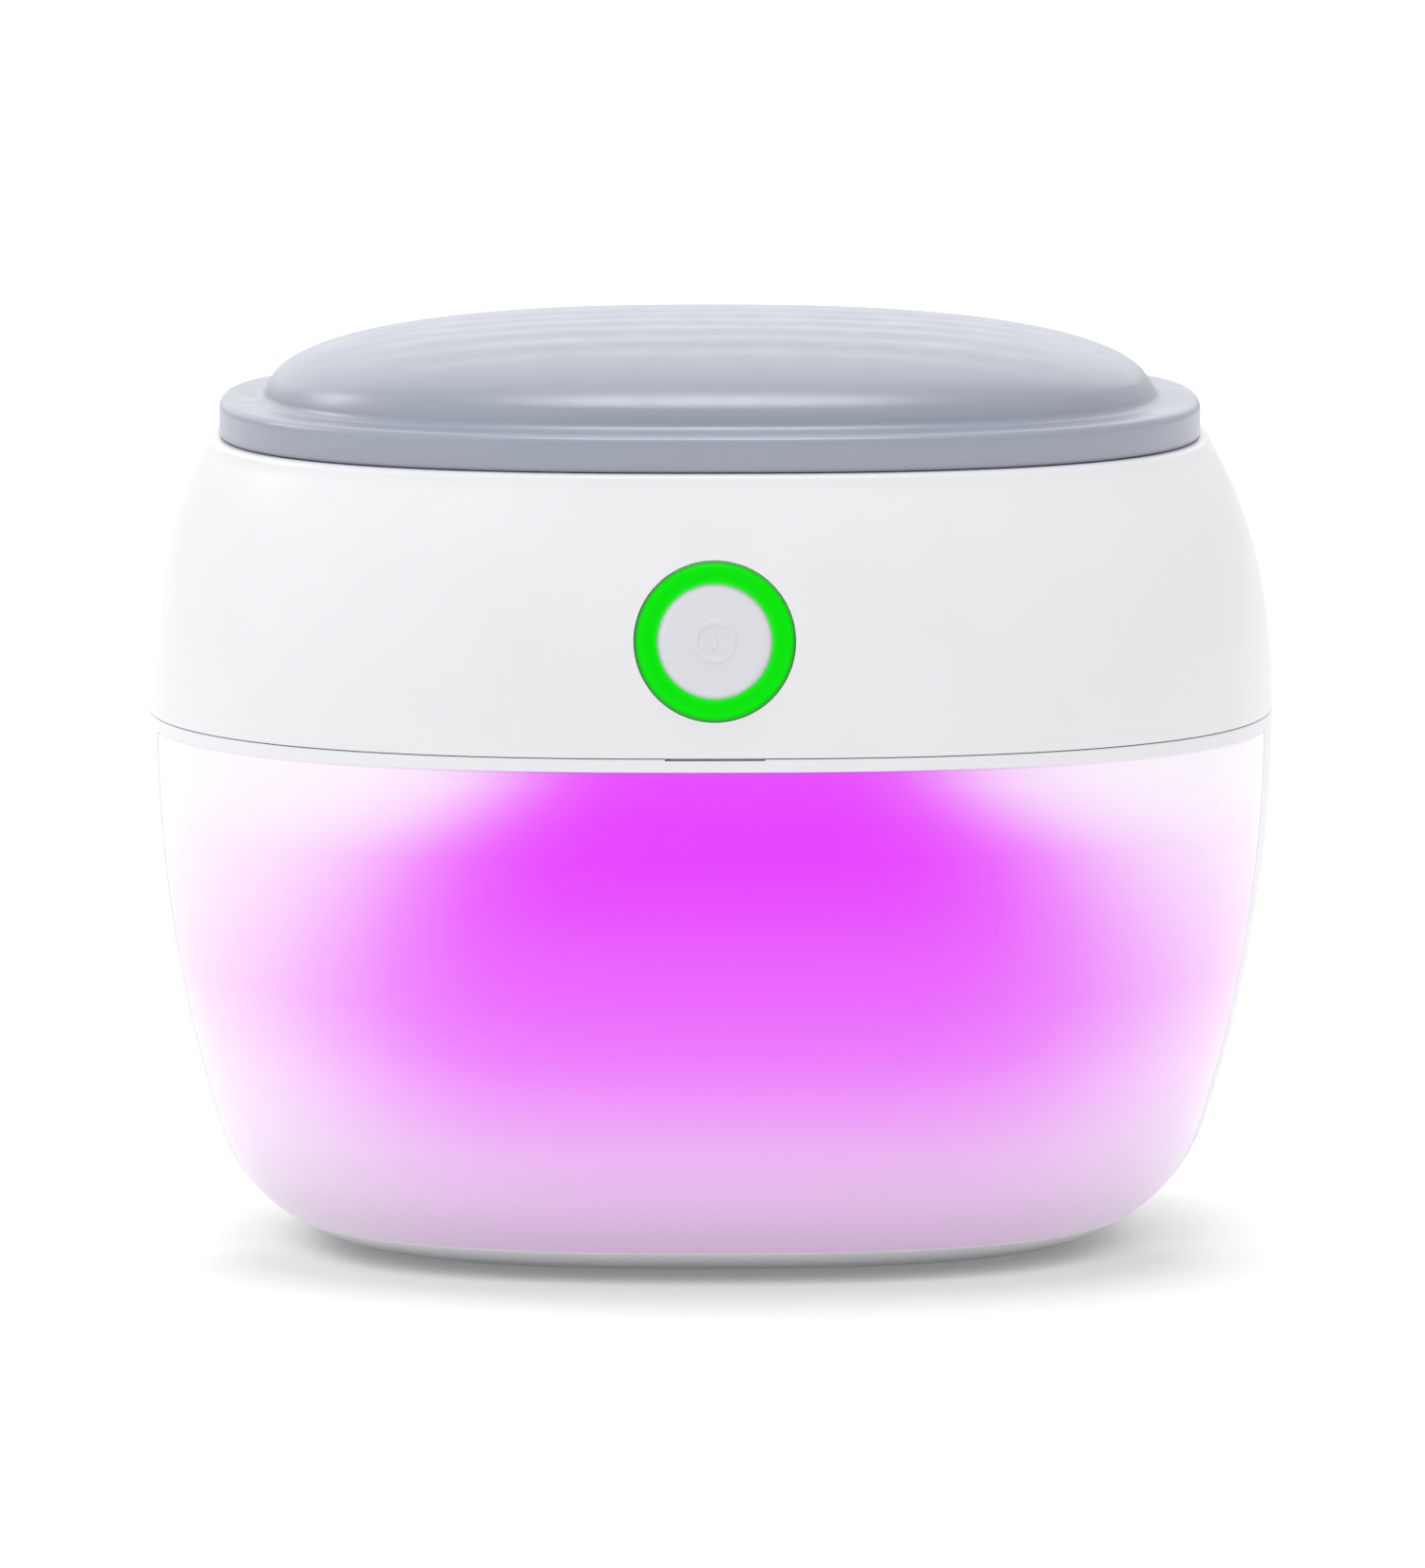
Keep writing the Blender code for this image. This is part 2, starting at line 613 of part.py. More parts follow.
def make_lower_housing():
    top_sweep = lower_sweep_at(SEAM_Z - CLEARANCE / 2)
    inner_end = lower_sweep_at(INNER_FLOOR_Z, WALL)
    ledge_z = BASE_Z + COVER_THICKNESS + CLEARANCE
    opening = COVER_HALF_WIDTH + CLEARANCE
    levels = lower_levels(top_sweep, lower_sweep_at(BASE_Z), 0.0)
    levels += [level(opening, BASE_Z), level(opening, ledge_z)]
    levels += [level(LEDGE_HALF_WIDTH, ledge_z), level(LEDGE_HALF_WIDTH, INNER_FLOOR_Z)]
    levels += list(reversed(lower_levels(top_sweep, inner_end, WALL)))
    housing = as_part(loft("lower_housing", levels, closed=True), "lower_housing", "shell_white")
    rebate = window_cutter("window_rebate", 0.0, -CUTTER_OVERSHOOT, WINDOW_THICKNESS + CLEARANCE)
    boolean(housing, rebate)
    opening = window_cutter("window_opening", WINDOW_LEDGE, WINDOW_THICKNESS, WALL + CUTTER_OVERSHOOT)
    boolean(housing, opening)
    for number, (x, y) in enumerate(BASE_SCREW_PLACES, 1):
        boss_name = f"base_boss_{number}"
        boss = cylinder(boss_name, BASE_BOSS_RADIUS, ledge_z, BASE_BOSS_TOP_Z, (x, y), BASE_BOSS_SEGMENTS)
        boolean(housing, as_tool(boss, boss_name), "UNION")
        low = ledge_z - CUTTER_OVERSHOOT
        high = BASE_BOSS_TOP_Z - BASE_PILOT_ROOF
        pilot = cylinder(f"base_pilot_{number}", BASE_HOLE_RADIUS, low, high, (x, y))
        boolean(housing, as_tool(pilot, f"base_pilot_{number}"))
    notch_y = DEPTH_INSET - HALF_WIDTH + PRY_NOTCH_DEPTH - PRY_NOTCH[1] / 2
    notch = box("pry_notch", PRY_NOTCH, (0.0, notch_y, SEAM_Z - CLEARANCE / 2))
    boolean(housing, as_tool(notch, "pry_notch"))
    bore = cylinder("inlet_hole", INLET_RADIUS + CLEARANCE, *INLET_BORE_REACH, segments=INLET_SEGMENTS)
    boolean(housing, as_tool(facing_back(bore), "inlet_hole"))
    return housing


def window_bounds(inset):
    """(top sweep, bottom sweep, side angle) of the window's outline, drawn in by an inset."""
    top = lower_sweep_at(WINDOW_TOP_Z) + inset / SIDE_RADIUS
    bottom = lower_sweep_at(WINDOW_BOTTOM_Z) - inset / CORNER_RADIUS
    half_depth = HALF_WIDTH - DEPTH_INSET
    side_y = half_depth * math.sin(WINDOW_SIDE_ANGLE) ** (2 / PLAN_EXPONENT) + inset
    side = math.asin((side_y / half_depth) ** (PLAN_EXPONENT / 2))
    return top, bottom, side


def window_cutter(name, inset, near, far):
    top, bottom, side = window_bounds(inset)
    outer, inner = (
        [level(*lower_point(sweep, depth)) for sweep in even_angles(top, bottom, CUTTER_ROWS)]
        for depth in (near, far)
    )
    angles = even_angles(math.pi + side, math.tau - side, CUTTER_COLUMNS)
    return as_tool(patch(name, outer, inner, angles), name)


def make_window_panel():
    top, bottom, side = window_bounds(CLEARANCE)
    outer = lower_levels(top, bottom, 0.0)
    inner = lower_levels(top, bottom, WINDOW_THICKNESS)
    panel = patch("window_panel", outer, inner, plan_angles(math.pi + side, math.tau - side))
    return as_part(panel, "window_panel", "window_violet")


def make_base_cover():
    top = BASE_Z + COVER_THICKNESS
    levels = [level(COVER_HALF_WIDTH, BASE_Z), level(COVER_HALF_WIDTH, top)]
    cover = loft("base_cover", levels, closed=False, segments=COVER_SEGMENTS)
    as_part(cover, "base_cover", "shell_white")
    for number, (x, y) in enumerate(POST_PLACES, 1):
        low = top - POST_ROOT
        post = cylinder(f"board_post_{number}", POST_RADIUS, low, DRIVER_BOARD_Z - CLEARANCE, (x, y))
        boolean(cover, as_tool(post, f"board_post_{number}"), "UNION")
    for number, (x, y) in enumerate(BASE_SCREW_PLACES, 1):
        low = BASE_Z - CUTTER_OVERSHOOT
        high = BASE_Z + COUNTERBORE_DEPTH
        wide = cylinder("counterbore", COUNTERBORE_RADIUS, low, high, (x, y), BASE_BOSS_SEGMENTS)
        boolean(cover, as_tool(wide, f"cover_counterbore_{number}"))
        hole = cylinder(f"cover_hole_{number}", BASE_HOLE_RADIUS, BASE_Z, top + CUTTER_OVERSHOOT, (x, y))
        boolean(cover, as_tool(hole, f"cover_hole_{number}"))
    for number, (x, y) in enumerate(FOOT_PLACES, 1):
        low = BASE_Z - 2 * CUTTER_OVERSHOOT
        high = BASE_Z + FOOT_POCKET_DEPTH
        pocket = cylinder("pocket", FOOT_RADIUS + CLEARANCE, low, high, (x, y), FOOT_POCKET_SEGMENTS)
        boolean(cover, as_tool(pocket, f"foot_pocket_{number}"))
    return cover


def make_feet_and_base_screws():
    foot_top = BASE_Z + FOOT_TOP
    foot = [(0.0, foot_top), (FOOT_RADIUS, foot_top), (FOOT_RADIUS, FOOT_CHAMFER)]
    foot += [(FOOT_RADIUS - FOOT_CHAMFER, 0.0), (0.0, 0.0)]
    for number, place in enumerate(FOOT_PLACES, 1):
        obj = turned(f"foot_{number}", foot, SMALL_SEGMENTS)
        obj.location = (*place, 0.0)
        as_part(obj, f"foot_{number}", "rubber")
    for number, place in enumerate(BASE_SCREW_PLACES, 1):
        screw_piece(f"base_screw_{number}", place, BASE_Z + SCREW_HEAD_RECESS, BASE_SCREW)


# --- Lid ---


def dome_levels(half_width, foot_z, height, first, last, steps):
    """Levels of a dome between two sweeps in degrees; 90 is its top. Its plan keeps its proportions."""
    ratio = (DOME_HALF_WIDTH - DEPTH_INSET) / DOME_HALF_WIDTH
    power = 2.0 / DOME_EXPONENT
    levels = []
    for i in range(steps + 1):
        sweep = math.radians(first + (last - first) * i / steps)
        width = half_width * math.cos(sweep) ** power
        levels.append(level(width, foot_z + height * math.sin(sweep) ** power, width * ratio))
    return levels


def make_lid_shell():
    bottom = DECK_Z + CLEARANCE
    top = bottom + FLANGE_THICKNESS
    levels = [level(LINER_RIM + CLEARANCE, bottom), level(FLANGE_HALF_WIDTH, bottom)]
    for degrees in (0, 45, 90):
        turn = math.radians(degrees)
        width = FLANGE_HALF_WIDTH - FLANGE_FILLET * (1 - math.cos(turn))
        levels.append(level(width, top - FLANGE_FILLET * (1 - math.sin(turn))))
    for degrees in (0, 45):
        turn = math.radians(degrees)
        width = DOME_HALF_WIDTH + FOOT_FILLET * (1 - math.sin(turn))
        levels.append(level(width, top + FOOT_FILLET * (1 - math.cos(turn))))
    levels += dome_levels(DOME_HALF_WIDTH, top, DOME_HEIGHT, 16, 82, 5)
    inner_top = top + DOME_HEIGHT - LID_WALL
    inner_foot = bottom + LID_INNER_STEP
    dome = dome_levels(LINER_RIM + CLEARANCE, inner_foot, inner_top - inner_foot, 12, 78, 3)
    inner = [level(LINER_RIM + CLEARANCE, inner_foot), *dome]
    return as_part(cup("lid_shell", levels, inner), "lid_shell", "lid_grey")


def cup(name, outer, inner):
    """A vessel. Its outer and inner faces both run from its rim to its closed end."""
    return loft(name, list(reversed(outer)) + inner, closed=False)


def make_lid_liner():
    top = DECK_Z + CLEARANCE + LINER_THICKNESS
    rim_bottom = DECK_Z + CLEARANCE
    inner = LINER_PLUG - LINER_THICKNESS
    low, high = GASKET_BAND
    floor_top = LINER_BOTTOM_Z + LINER_THICKNESS
    levels = [level(inner - LINER_CORNER, floor_top), level(inner, floor_top + LINER_CORNER)]
    levels += [level(inner - LINER_DRAFT, top), level(LINER_RIM, top), level(LINER_RIM, rim_bottom)]
    levels += [level(LINER_PLUG, rim_bottom), level(LINER_PLUG, high)]
    levels += [level(LINER_PLUG - GASKET_GROOVE, high), level(LINER_PLUG - GASKET_GROOVE, low)]
    levels += [level(LINER_PLUG, low), level(LINER_PLUG, LINER_BOTTOM_Z + LINER_EDGE)]
    levels += [level(LINER_PLUG - LINER_EDGE, LINER_BOTTOM_Z)]
    liner = loft("lid_liner", levels, closed=False, segments=RING_SEGMENTS)
    return as_part(liner, "lid_liner", "liner_white")


def make_lid_small_pieces():
    low, high = GASKET_BAND
    inner = LINER_PLUG - GASKET_GROOVE + CLEARANCE
    lip = TANK_TOP - CLEARANCE
    levels = [level(inner, low + CLEARANCE), level(lip, low + CLEARANCE)]
    levels += [level(lip, high - GASKET_TAPER), level(LINER_PLUG, high - CLEARANCE)]
    levels += [level(inner, high - CLEARANCE)]
    gasket = loft("lid_gasket", levels, closed=True, segments=RING_SEGMENTS)
    as_part(gasket, "lid_gasket", "silicone")
    floor = LINER_BOTTOM_Z + LINER_THICKNESS + CLEARANCE
    roof = floor + MAGNET_THICKNESS
    magnet = cylinder("lid_magnet", MAGNET_RADIUS, floor, roof, (0.0, MAGNET_Y), SMALL_SEGMENTS)
    as_part(magnet, "lid_magnet", "magnet")


# --- Basin and transducer ---


def tank_screw_places():
    places = []
    for degrees in TANK_SCREW_ANGLES:
        point = plan_point(*level(TANK_SCREW_WIDTH, 0.0)[:3], math.radians(degrees), PLAN_EXPONENT)
        places.append((point.x, point.y))
    return places


def transducer_screw_places():
    turns = [math.radians(degrees) for degrees in TRANSDUCER_SCREW_ANGLES]
    return [(TRANSDUCER_SCREW_RADIUS * math.cos(t), TRANSDUCER_SCREW_RADIUS * math.sin(t)) for t in turns]


def make_tank():
    flange_bottom = TANK_FLANGE_Z - TANK_WALL
    floor_top = TANK_FLOOR_Z + TANK_FLOOR_THICKNESS
    hole = TANK_HOLE_RADIUS
    middle_width = (TANK_FOOT + TANK_FLOOR_WIDTH) / 2 + TANK_CORNER_OUT
    middle_z = (TANK_FOOT_Z + TANK_FLOOR_Z) / 2 - TANK_CORNER_DOWN
    levels = [level(TANK_TOP, TANK_RIM_Z), level(TANK_TOP + TANK_WALL, TANK_RIM_Z)]
    levels += [level(TANK_TOP + TANK_WALL, TANK_FLANGE_Z), level(TANK_FLANGE, TANK_FLANGE_Z)]
    levels += [level(TANK_FLANGE, flange_bottom), level(TANK_TOP + TANK_WALL, flange_bottom)]
    levels += [level(TANK_FOOT + TANK_WALL, TANK_FOOT_Z), level(middle_width + TANK_WALL / 2, middle_z)]
    levels += [level(TANK_FLOOR_WIDTH, TANK_FLOOR_Z), level(hole, TANK_FLOOR_Z, hole, CIRCLE_EXPONENT)]
    levels += [level(hole, floor_top, hole, CIRCLE_EXPONENT)]
    levels += [level(TANK_FLOOR_WIDTH - TANK_FLOOR_EDGE, floor_top)]
    levels += [level(middle_width - TANK_WALL / 2, middle_z + TANK_WALL), level(TANK_FOOT, TANK_FOOT_Z)]
    levels += [level(TANK_TOP, flange_bottom)]
    tank = loft("tank", levels, closed=True, segments=RING_SEGMENTS)
    as_part(tank, "tank", "basin_clear")
    for number, (x, y) in enumerate(tank_screw_places(), 1):
        low = flange_bottom - CUTTER_OVERSHOOT
        hole = cylinder("hole", TANK_HOLE_GAP, low, TANK_FLANGE_Z + CUTTER_OVERSHOOT, (x, y))
        boolean(tank, as_tool(hole, f"tank_hole_{number}"))
    boss_bottom = TANK_FLOOR_Z - TANK_BOSS_HEIGHT
    for number, (x, y) in enumerate(transducer_screw_places(), 1):
        boss = cylinder("boss", TANK_BOSS_RADIUS, boss_bottom, TANK_FLOOR_Z + TANK_BOSS_ROOT, (x, y))
        boolean(tank, as_tool(boss, f"tank_boss_{number}"), "UNION")
        low = boss_bottom - CUTTER_OVERSHOOT
        pilot = cylinder("pilot", TANK_BOSS_PILOT, low, TANK_FLOOR_Z + TANK_BOSS_PILOT_ROOT, (x, y))
        boolean(tank, as_tool(pilot, f"tank_boss_pilot_{number}"))
    return tank


def make_tank_fixings():
    flange_bottom = TANK_FLANGE_Z - TANK_WALL
    deck_bottom = DECK_Z - DECK_THICKNESS
    low = TANK_FLANGE_Z + CLEARANCE / 2
    high = deck_bottom - CLEARANCE / 2
    inner = MOUTH_HALF_WIDTH + TANK_GASKET_INSET
    outer = inner + TANK_GASKET_WIDTH
    levels = [level(inner, low), level(outer, low), level(outer, high), level(inner, high)]
    gasket = loft("tank_gasket", levels, closed=True, segments=RING_SEGMENTS)
    as_part(gasket, "tank_gasket", "silicone")
    for number, place in enumerate(tank_screw_places(), 1):
        screw_piece(f"tank_screw_{number}", place, flange_bottom - CLEARANCE, TANK_SCREW)


def make_transducer():
    seal_top = TANK_FLOOR_Z - CLEARANCE
    seal_bottom = seal_top - SEAL_THICKNESS
    plate_top = seal_bottom - CLEARANCE
    plate_bottom = plate_top - PLATE_THICKNESS
    piezo_top = plate_bottom - CLEARANCE
    piezo_bottom = piezo_top - PIEZO_THICKNESS
    clamp_bottom = piezo_top - CLAMP_THICKNESS
    flat_ring("transducer_seal", SEAL_INNER, SEAL_OUTER, seal_bottom, seal_top, "silicone")
    plate = cylinder("radiating_plate", PLATE_RADIUS, plate_bottom, plate_top, segments=RING_SEGMENTS)
    as_part(plate, "radiating_plate", "steel")
    piezo = cylinder("piezo_disc", PIEZO_RADIUS, piezo_bottom, piezo_top, segments=RING_SEGMENTS)
    as_part(piezo, "piezo_disc", "piezo_ceramic")
    ring = flat_ring("clamp_ring", CLAMP_INNER, CLAMP_OUTER, clamp_bottom, piezo_top, "aluminium")
    for number, place in enumerate(transducer_screw_places(), 1):
        low = clamp_bottom - CUTTER_OVERSHOOT
        hole = cylinder("hole", CLAMP_HOLE, low, piezo_top + CUTTER_OVERSHOOT, place)
        boolean(ring, as_tool(hole, f"clamp_hole_{number}"))
        screw_piece(f"transducer_screw_{number}", place, clamp_bottom - CLEARANCE, TRANSDUCER_SCREW)


def flat_ring(name, inner, outer, low, high, material):
    profile = [(outer, high), (outer, low), (inner, low), (inner, high)]
    return as_part(turned(name, profile, RING_SEGMENTS, ring=True), name, material)


# --- Button ---


def button_frame():
    """An empty on the front wall whose Z axis is the button's axis, pointing outward."""
    step = 0.0005
    slope = (upper_width(BUTTON_Z - step) - upper_width(BUTTON_Z + step)) / (2 * step)
    frame = bpy.data.objects.new("button_axis", None)
    frame.location = (0.0, DEPTH_INSET - upper_width(BUTTON_Z), BUTTON_Z)
    frame.rotation_euler = (math.pi / 2 - math.atan(slope), 0.0, 0.0)
    PARTS.objects.link(frame)
    return frame


BUTTON_FRAME = button_frame()


def on_button_axis(obj):
    obj.parent = BUTTON_FRAME
    return obj


def make_button():
    middle = (RING_INNER + RING_OUTER) / 2
    guide = CAP_FLANGE + CLEARANCE
    flange_bottom = RING_FLANGE_TOP - FLANGE_HEIGHT
    edge = -RING_CREST
    shoulder = RING_CREST * RING_SHOULDER_SHARE
    ring = [(middle, RING_CREST), (RING_OUTER - RING_SHOULDER, shoulder), (RING_OUTER, edge)]
    ring += [(RING_OUTER, RING_FLANGE_TOP), (RING_FLANGE, RING_FLANGE_TOP), (RING_FLANGE, flange_bottom)]
    ring += [(RING_OUTER, flange_bottom), (RING_OUTER, RING_BACK), (guide, RING_BACK), (guide, RING_SEAT)]
    ring += [(RING_INNER, RING_SEAT), (RING_INNER, edge), (RING_INNER + RING_SHOULDER, shoulder)]
    light_ring = turned("light_ring", ring, BUTTON_SEGMENTS, ring=True)
    on_button_axis(as_part(light_ring, "light_ring", "ring_green"))
    cap_flange_top = RING_SEAT - CLEARANCE
    cap_flange_bottom = cap_flange_top - FLANGE_HEIGHT
    cap = [(0.0, CAP_FACE), (CAP_RADIUS - CAP_BEVEL, CAP_FACE), (CAP_RADIUS, CAP_FACE - CAP_BEVEL)]
    cap += [(CAP_RADIUS, cap_flange_top), (CAP_FLANGE, cap_flange_top), (CAP_FLANGE, cap_flange_bottom)]
    cap += [(CAP_NOSE_RADIUS, cap_flange_bottom), (CAP_NOSE_RADIUS, CAP_NOSE), (0.0, CAP_NOSE)]
    on_button_axis(as_part(turned("button_cap", cap, BUTTON_SEGMENTS), "button_cap", "button_grey"))
    front = CAP_NOSE - CLEARANCE
    back = front - PLUNGER_LENGTH
    plunger = cylinder("switch_plunger", PLUNGER_RADIUS, back, front, segments=SMALL_SEGMENTS)
    on_button_axis(as_part(plunger, "switch_plunger", "black_plastic"))


def make_control_board():
    height, thickness = CONTROL_BOARD[1:]
    front = CONTROL_BOARD_FRONT
    back = front - thickness
    centre = (0.0, 0.0, front - thickness / 2)
    board = as_part(box("control_board", CONTROL_BOARD, centre), "control_board", "board_green")
    on_button_axis(board)
    for number, (x, y) in enumerate(CONTROL_BOSSES, 1):
        low = back - CUTTER_OVERSHOOT
        hole = cylinder("hole", CONTROL_HOLE_RADIUS, low, front + CUTTER_OVERSHOOT, (x, y))
        boolean(board, as_tool(on_button_axis(hole), f"board_hole_{number}"))
        on_button_axis(screw_piece(f"board_screw_{number}", (x, y), back - CLEARANCE, BOARD_SCREW))
    switch_back = front + CLEARANCE
    switch_front = switch_back + SWITCH_SIZE[2]
    centre = (0.0, 0.0, (switch_back + switch_front) / 2)
    switch = as_part(box("tact_switch", SWITCH_SIZE, centre), "tact_switch", "black_plastic")
    on_button_axis(switch)
    well_radius = PLUNGER_RADIUS + PLUNGER_WELL_GAP
    low = switch_front - PLUNGER_WELL
    well = cylinder("well", well_radius, low, switch_front + CUTTER_OVERSHOOT, segments=SMALL_SEGMENTS)
    boolean(switch, as_tool(on_button_axis(well), "switch_well"))
    for number, degrees in enumerate(RING_LED_ANGLES, 1):
        turn = math.radians(degrees)
        x = RING_LED_RADIUS * math.cos(turn)
        y = RING_LED_RADIUS * math.sin(turn)
        led = box(f"ring_led_{number}", RING_LED, (x, y, switch_back + RING_LED[2] / 2))
        on_button_axis(as_part(led, f"ring_led_{number}", "led_lens"))
    centre = (0.0, height / 2 - LID_SENSOR_DROP, back - CLEARANCE - LID_SENSOR[2] / 2)
    on_button_axis(as_part(box("lid_sensor", LID_SENSOR, centre), "lid_sensor", "black_plastic"))


def make_uv_lamps():
    width, thickness, height = UV_BOARD
    board = box("uv_board", UV_BOARD, (0.0, UV_BOARD_Y, UV_BOARD_Z))
    as_part(board, "uv_board", "board_green")
    led_y = UV_BOARD_Y + thickness / 2 + CLEARANCE + UV_LED[1] / 2
    for number, x in enumerate(UV_LED_PLACES, 1):
        led = box(f"uv_led_{number}", UV_LED, (x, led_y, UV_BOARD_Z))
        as_part(led, f"uv_led_{number}", "led_lens")
    holder_y = UV_BOARD_Y - thickness / 2 - CLEARANCE - UV_HOLDER_THICKNESS / 2
    holder = box("uv_holder", (width, UV_HOLDER_THICKNESS, height), (0.0, holder_y, UV_BOARD_Z))
    as_part(holder, "uv_holder", "connector_white")
    board_back = CONTROL_BOARD_FRONT - CONTROL_BOARD[2] - CLEARANCE
    for number, x in enumerate(UV_ARM_PLACES, 1):
        arm = cylinder("arm", UV_ARM_RADIUS, UV_ARM_BACK, board_back, (x, UV_ARM_DROP))
        boolean(holder, as_tool(on_button_axis(arm), f"uv_arm_{number}"), "UNION")


# --- Driver board, inlet and wiring ---


def on_driver_board(name, size, place, material):
    """A box standing on the driver board."""
    bottom = DRIVER_BOARD_Z + DRIVER_BOARD[2] + CLEARANCE
    obj = box(name, size, (place[0], place[1], bottom + size[2] / 2))
    return as_part(obj, name, material)


def make_driver_board():
    thickness = DRIVER_BOARD[2]
    top = DRIVER_BOARD_Z + thickness
    board = box("driver_board", DRIVER_BOARD, (0.0, 0.0, DRIVER_BOARD_Z + thickness / 2))
    as_part(board, "driver_board", "board_green")
    on_driver_board("transformer", *TRANSFORMER, "ferrite")
    for name, length, place in CONNECTORS:
        on_driver_board(name, (length, 0.0050, CONNECTOR_HEIGHT), place, "connector_white")
    on_driver_board("power_transistor", *TRANSISTOR, "black_plastic")
    on_driver_board("heat_sink", *HEAT_SINK, "aluminium")
    bottom = top + CLEARANCE
    coil_top = bottom + INDUCTOR_HEIGHT
    inner, outer, edge = INDUCTOR_INNER, INDUCTOR_OUTER, INDUCTOR_EDGE
    high, low = coil_top - edge, bottom + edge
    coil = [(outer - edge, coil_top), (outer, high), (outer, low), (outer - edge, bottom)]
    coil += [(inner + edge, bottom), (inner, low), (inner, high), (inner + edge, coil_top)]
    inductor = turned("inductor", coil, SMALL_SEGMENTS, ring=True)
    inductor.location = (*INDUCTOR_PLACE, 0.0)
    as_part(inductor, "inductor", "copper")
    can_top = bottom + CAPACITOR_HEIGHT
    radius, edge = CAPACITOR_RADIUS, CAPACITOR_EDGE
    can = [(0.0, can_top), (radius - edge, can_top), (radius, can_top - edge)]
    can += [(radius, bottom), (0.0, bottom)]
    capacitor = turned("capacitor", can, SMALL_SEGMENTS)
    capacitor.location = (*CAPACITOR_PLACE, 0.0)
    as_part(capacitor, "capacitor", "wire_black")


def facing_back(obj):
    """Turns a piece made along Z so that +Z points out of the back wall at the inlet."""
    wall_y = lower_point(lower_sweep_at(INLET_Z))[0] - DEPTH_INSET
    turn = Matrix.Rotation(-math.pi / 2, 4, "X")
    obj.matrix_world = Matrix.Translation((0.0, wall_y, INLET_Z)) @ turn @ Matrix.Translation(obj.location)
    return obj


def make_power_inlet():
    shoulder = -WALL - INLET_SHOULDER_GAP
    pin_edge = INLET_PIN_TOP - INLET_EDGE
    body = [(0.0, INLET_PIN_TOP), (INLET_PIN, pin_edge), (INLET_PIN, INLET_FLOOR), (INLET_BORE, INLET_FLOOR)]
    body += [(INLET_BORE, INLET_RIM), (INLET_RADIUS - INLET_EDGE, INLET_RIM), (INLET_RADIUS, -INLET_RIM)]
    body += [(INLET_RADIUS, shoulder), (INLET_BODY, shoulder), (INLET_BODY, -INLET_DEPTH)]
    body += [(0.0, -INLET_DEPTH)]
    inlet = facing_back(turned("power_inlet", body, INLET_SEGMENTS))
    as_part(inlet, "power_inlet", "black_plastic")


def make_wires():
    plug_top = DRIVER_BOARD_Z + DRIVER_BOARD[2] + 3 * CLEARANCE + CONNECTOR_HEIGHT
    piezo_bottom = TANK_FLOOR_Z - 3 * CLEARANCE - SEAL_THICKNESS - PLATE_THICKNESS - PIEZO_THICKNESS
    plugs = {name: place for name, length, place in CONNECTORS}
    for name, x in WIRE_STARTS_X.items():
        y = plugs["transducer_connector"][1]
        end = WIRE_ENDS[name]
        route = [(x, y, plug_top), (x, y, plug_top + WIRE_STRAIGHT)]
        route += [(*end, piezo_bottom - WIRE_STRAIGHT), (*end, piezo_bottom - CLEARANCE)]
        wire(f"transducer_wire_{name}", smooth_route(route), WIRE_RADIUS, f"wire_{name}")
    inlet_y = lower_point(lower_sweep_at(INLET_Z))[0] - DEPTH_INSET - INLET_DEPTH - 2 * CLEARANCE
    forward, (side_x, side_z), middle = INLET_CABLE_BEND
    plug = plugs["inlet_connector"]
    route = [(0.0, inlet_y, INLET_Z), (0.0, inlet_y - forward, INLET_Z), (side_x, inlet_y - forward, side_z)]
    route += [middle, (*plug, plug_top + CABLE_STRAIGHT), (*plug, plug_top)]
    wire("inlet_cable", smooth_route(route), CABLE_RADIUS, "wire_black")
    plug = plugs["control_connector"]
    route = [(*plug, plug_top), (*plug, plug_top + CABLE_STRAIGHT), *CONTROL_CABLE_BENDS, CONTROL_CABLE_END]
    wire("control_cable", smooth_route(route), CABLE_RADIUS, "connector_white")


make_upper_housing()
make_lower_housing()
make_window_panel()
make_base_cover()
make_feet_and_base_screws()
make_lid_shell()
make_lid_liner()
make_lid_small_pieces()
make_tank()
make_tank_fixings()
make_transducer()
make_button()
make_control_board()
make_uv_lamps()
make_driver_board()
make_power_inlet()
make_wires()
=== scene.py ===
"""Looks of a countertop ultrasonic aligner cleaner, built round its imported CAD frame.

The two housings, the window, the lid and its liner, the light ring, the button cap, the basin, the inlet,
the feet and the base screws are fine meshes that stand for their CAD nodes. The mark on the button is added.
The boards, wires and small pieces inside stay as CAD, with better materials.
Metres, +Z up, front towards -Y, floor at z = 0.
"""

import math

import bmesh
import bpy
from mathutils import Matrix, Vector


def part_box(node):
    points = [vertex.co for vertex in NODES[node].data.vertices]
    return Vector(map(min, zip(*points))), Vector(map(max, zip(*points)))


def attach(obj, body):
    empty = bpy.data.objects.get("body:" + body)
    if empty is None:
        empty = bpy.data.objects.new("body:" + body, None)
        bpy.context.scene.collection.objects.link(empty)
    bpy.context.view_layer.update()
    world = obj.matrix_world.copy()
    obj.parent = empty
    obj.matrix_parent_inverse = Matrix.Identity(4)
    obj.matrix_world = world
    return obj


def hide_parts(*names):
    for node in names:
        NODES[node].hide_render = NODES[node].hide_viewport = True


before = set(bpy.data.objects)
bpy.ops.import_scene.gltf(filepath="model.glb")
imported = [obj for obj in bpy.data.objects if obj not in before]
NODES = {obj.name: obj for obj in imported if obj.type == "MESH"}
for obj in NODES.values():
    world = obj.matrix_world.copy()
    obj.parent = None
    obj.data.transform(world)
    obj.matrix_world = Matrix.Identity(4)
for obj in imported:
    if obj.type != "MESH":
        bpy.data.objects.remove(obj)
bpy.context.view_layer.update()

MM = 0.001

